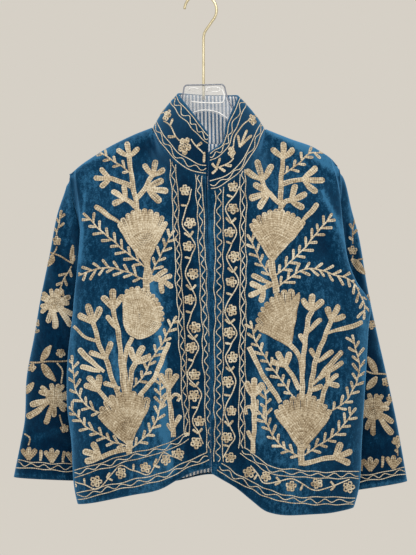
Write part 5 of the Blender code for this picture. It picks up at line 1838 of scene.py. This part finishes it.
def chain(name, rows, carry, material, seed):
    """Chain stitch along rows: each row is cut into even stitches on the cloth, and a section with
    a groove is carried along it, wide and high in the middle of each link and small where they join."""
    plain = np.array([0.0, 0.0, 1.0, 0.0])
    rows = [np.column_stack([row, np.tile(plain[row.shape[1]:], (len(row), 1))]) for row in rows]
    points = carry(by_hand(np.concatenate(rows)))[0]
    starts = np.cumsum([0] + [len(row) for row in rows])
    pieces = []
    for row, first, last in zip(rows, starts, starts[1:]):
        length = run_of(points[first:last])
        at = np.linspace(0, length[-1], max(1, round(length[-1] / STITCH)) * STATIONS + 1)
        pieces.append(np.stack([np.interp(at, length, value) for value in row.T], 1))
    counts = np.array([len(piece) for piece in pieces])
    first = np.repeat(np.cumsum(counts) - counts, counts)
    last = first + np.repeat(counts, counts) - 1
    i = np.arange(counts.sum())
    chart = np.concatenate(pieces)
    points, normal, keep = carry(by_hand(chart))
    along = points[np.minimum(i + 1, last)] - points[np.maximum(i - 1, first)]
    along = along / np.maximum(np.linalg.norm(along, axis=1, keepdims=True), 1e-9)
    aside = np.cross(normal, along)

    step = (i - first) % STATIONS
    ends = np.where((i == first) | (i == last), LINK_END, 1.0) * chart[:, 2]
    link = np.array(LINK)
    section = np.array(SECTION)
    random = np.random.default_rng(seed)
    stitch_tone = random.normal(0.0, STITCH_UNEVEN, len(i))[i - step]
    row_tone = np.repeat(random.normal(0.0, ROW_UNEVEN, len(counts)), counts)
    wide = THREAD_HALF * (link[step, 0] * ends)[:, None, None] * section[None, :, :1]
    high = THREAD_RISE * (link[step, 1] * ends)[:, None, None] * section[None, :, 1:2]
    # tone: painted light and shade of link and section, random shades of stitch and row, and each row's own
    # shade, which on the sleeves is painted shade
    tone = THREAD_TONE + link[step, 2] + stitch_tone + row_tone + chart[:, 3]
    tone = tone[:, None] + section[None, :, 2]
    verts = points[:, None] + aside[:, None] * wide + normal[:, None] * (high + THREAD_LIFT)

    n = len(SECTION)
    whole = i[(i != last) & keep & keep[np.minimum(i + 1, len(i) - 1)]]
    a = whole[:, None] * n + np.arange(n - 1)[None]
    quads = np.stack([a, a + n, a + n + 1, a + 1], -1).reshape(-1, 4)
    used, quads = np.unique(quads, return_inverse=True)
    verts = verts.reshape(-1, 3)[used]
    return new_mesh(name, verts, quads.reshape(-1, 4), [material], tone=np.clip(tone, 0, 1).ravel()[used])


THREAD_DARK = (0.21, 0.15, 0.085)
THREAD_TAN = (0.45, 0.368, 0.248)
THREAD_CREAM = (0.72, 0.65, 0.505)


def thread_material():
    """Cream cotton thread, each stitch its own shade, with a fine twist; its tone also paints shade on the
    stitches' sides, grooves and joins, and highlight on their tops.
    """
    n = Nodes("cream_thread")
    tone = n.add("ShaderNodeAttribute", attribute_name="tone").outputs["Fac"]
    place = n.add("ShaderNodeTexCoord").outputs["Object"]
    patch = n.math("MULTIPLY", n.math("SUBTRACT", n.noise(place, 30.0), 0.5), 0.5)
    shade = n.math("ADD", tone, patch, clamp=True)
    n.link(n.ramp(shade, ((0.12, THREAD_DARK), (0.50, THREAD_TAN), (0.88, THREAD_CREAM))),
           n.shader.inputs["Base Color"])
    n.set(roughness=0.75, sheen_weight=0.2, sheen_roughness=0.4, specular_ior_level=0.3)
    n.bump(n.noise(place, 1600.0, 2.0), 0.3, 0.4 * MM)
    return n.material


thread = thread_material()
sewing = {
    "front_right": chain("embroidery_front_right", front_rows("right"), on_front(RIGHT), thread, 1),
    "front_left": chain("embroidery_front_left", front_rows("left"), on_front(LEFT), thread, 2),
    "sleeve_right": chain("embroidery_sleeve_right", sleeve_rows("right"),
                          on_sleeve(RIGHT, SLEEVE_RIGHT, "right"), thread, 3),
    "sleeve_left": chain("embroidery_sleeve_left", sleeve_rows("left"),
                         on_sleeve(LEFT, SLEEVE_LEFT, "left"), thread, 4),
    "cuff_right": chain("embroidery_cuff_right", border(*CUFF_BORDERS["right"]),
                        on_sleeve(RIGHT, SLEEVE_RIGHT, "right", 1), thread, 7),
    "cuff_left": chain("embroidery_cuff_left", border(*CUFF_BORDERS["left_behind"]),
                       on_sleeve(LEFT, SLEEVE_LEFT, "left", 1), thread, 8),
    "collar": chain("embroidery_collar", collar_rows(), on_collar, thread, 5),
    "back": chain("embroidery_back_hem", back_rows(), on_back, thread, 6),
}
for piece in sewing.values():
    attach(piece, "root")

# Stage: pale floor well below, pale surround, soft lights, and the camera straight in front

LENS = 77.8
SENSOR_HEIGHT = 36.0
FLOOR_Z = -1.45
FLOOR_HALF = 1.6
FLOOR_DIM = (0.62, 0.59, 0.54)
FLOOR_PALE = (0.68, 0.65, 0.60)
WALL_COLOUR = (0.672, 0.631, 0.565)
Light = namedtuple("Light", "name place size energy colour")
LIGHTS = [Light(*row) for row in (
    ("key", (0.45, -1.5, 0.85), 1.1, 21, (1.0, 0.98, 0.95)),
    ("fill", (-1.4, -1.5, -0.2), 1.4, 9, (0.96, 0.98, 1.0)))]
LIGHT_AIM = (0.0, 0.0, -0.45)

scene = bpy.context.scene


def floor_material():
    """Pale floor with faint soft patches."""
    n = Nodes("pale_floor")
    place = n.add("ShaderNodeTexCoord").outputs["Object"]
    n.link(n.ramp(n.noise(place, 3.0), ((0.3, FLOOR_DIM), (0.7, FLOOR_PALE))), n.shader.inputs["Base Color"])
    n.set(roughness=0.8)
    return n.material


corners = np.array([(-1, -1, 0), (1, -1, 0), (1, 1, 0), (-1, 1, 0)]) * FLOOR_HALF + (0, 0, FLOOR_Z)
floor = new_mesh("floor", corners, np.array([[0, 1, 2, 3]]), [floor_material()])

world = bpy.data.worlds.new("studio")
world.use_nodes = True
world.node_tree.nodes["Background"].inputs["Color"].default_value = (*WALL_COLOUR, 1.0)
world.node_tree.nodes["Background"].inputs["Strength"].default_value = 1.0
scene.world = world
scene.view_settings.view_transform = "Standard"


def soft_light(light):
    """Square soft light turned towards the jacket's middle."""
    data = bpy.data.lights.new(light.name, "AREA")
    data.size = light.size
    data.energy = light.energy
    data.color = light.colour
    obj = bpy.data.objects.new(light.name, data)
    obj.location = light.place
    x, y, z = np.array(LIGHT_AIM) - np.array(light.place)
    obj.rotation_euler = (math.atan2(math.hypot(x, y), -z), 0, math.atan2(-x, y))
    scene.collection.objects.link(obj)


for light in LIGHTS:
    soft_light(light)

camera_data = bpy.data.cameras.new("camera")
camera_data.sensor_fit = "VERTICAL"
camera_data.sensor_height = SENSOR_HEIGHT
camera_data.lens = LENS
camera = bpy.data.objects.new("camera", camera_data)
camera.location = (CAMERA_X, -CAMERA_AWAY, CAMERA_Z)
camera.rotation_euler = (math.pi / 2, 0, 0)
scene.collection.objects.link(camera)
scene.camera = camera
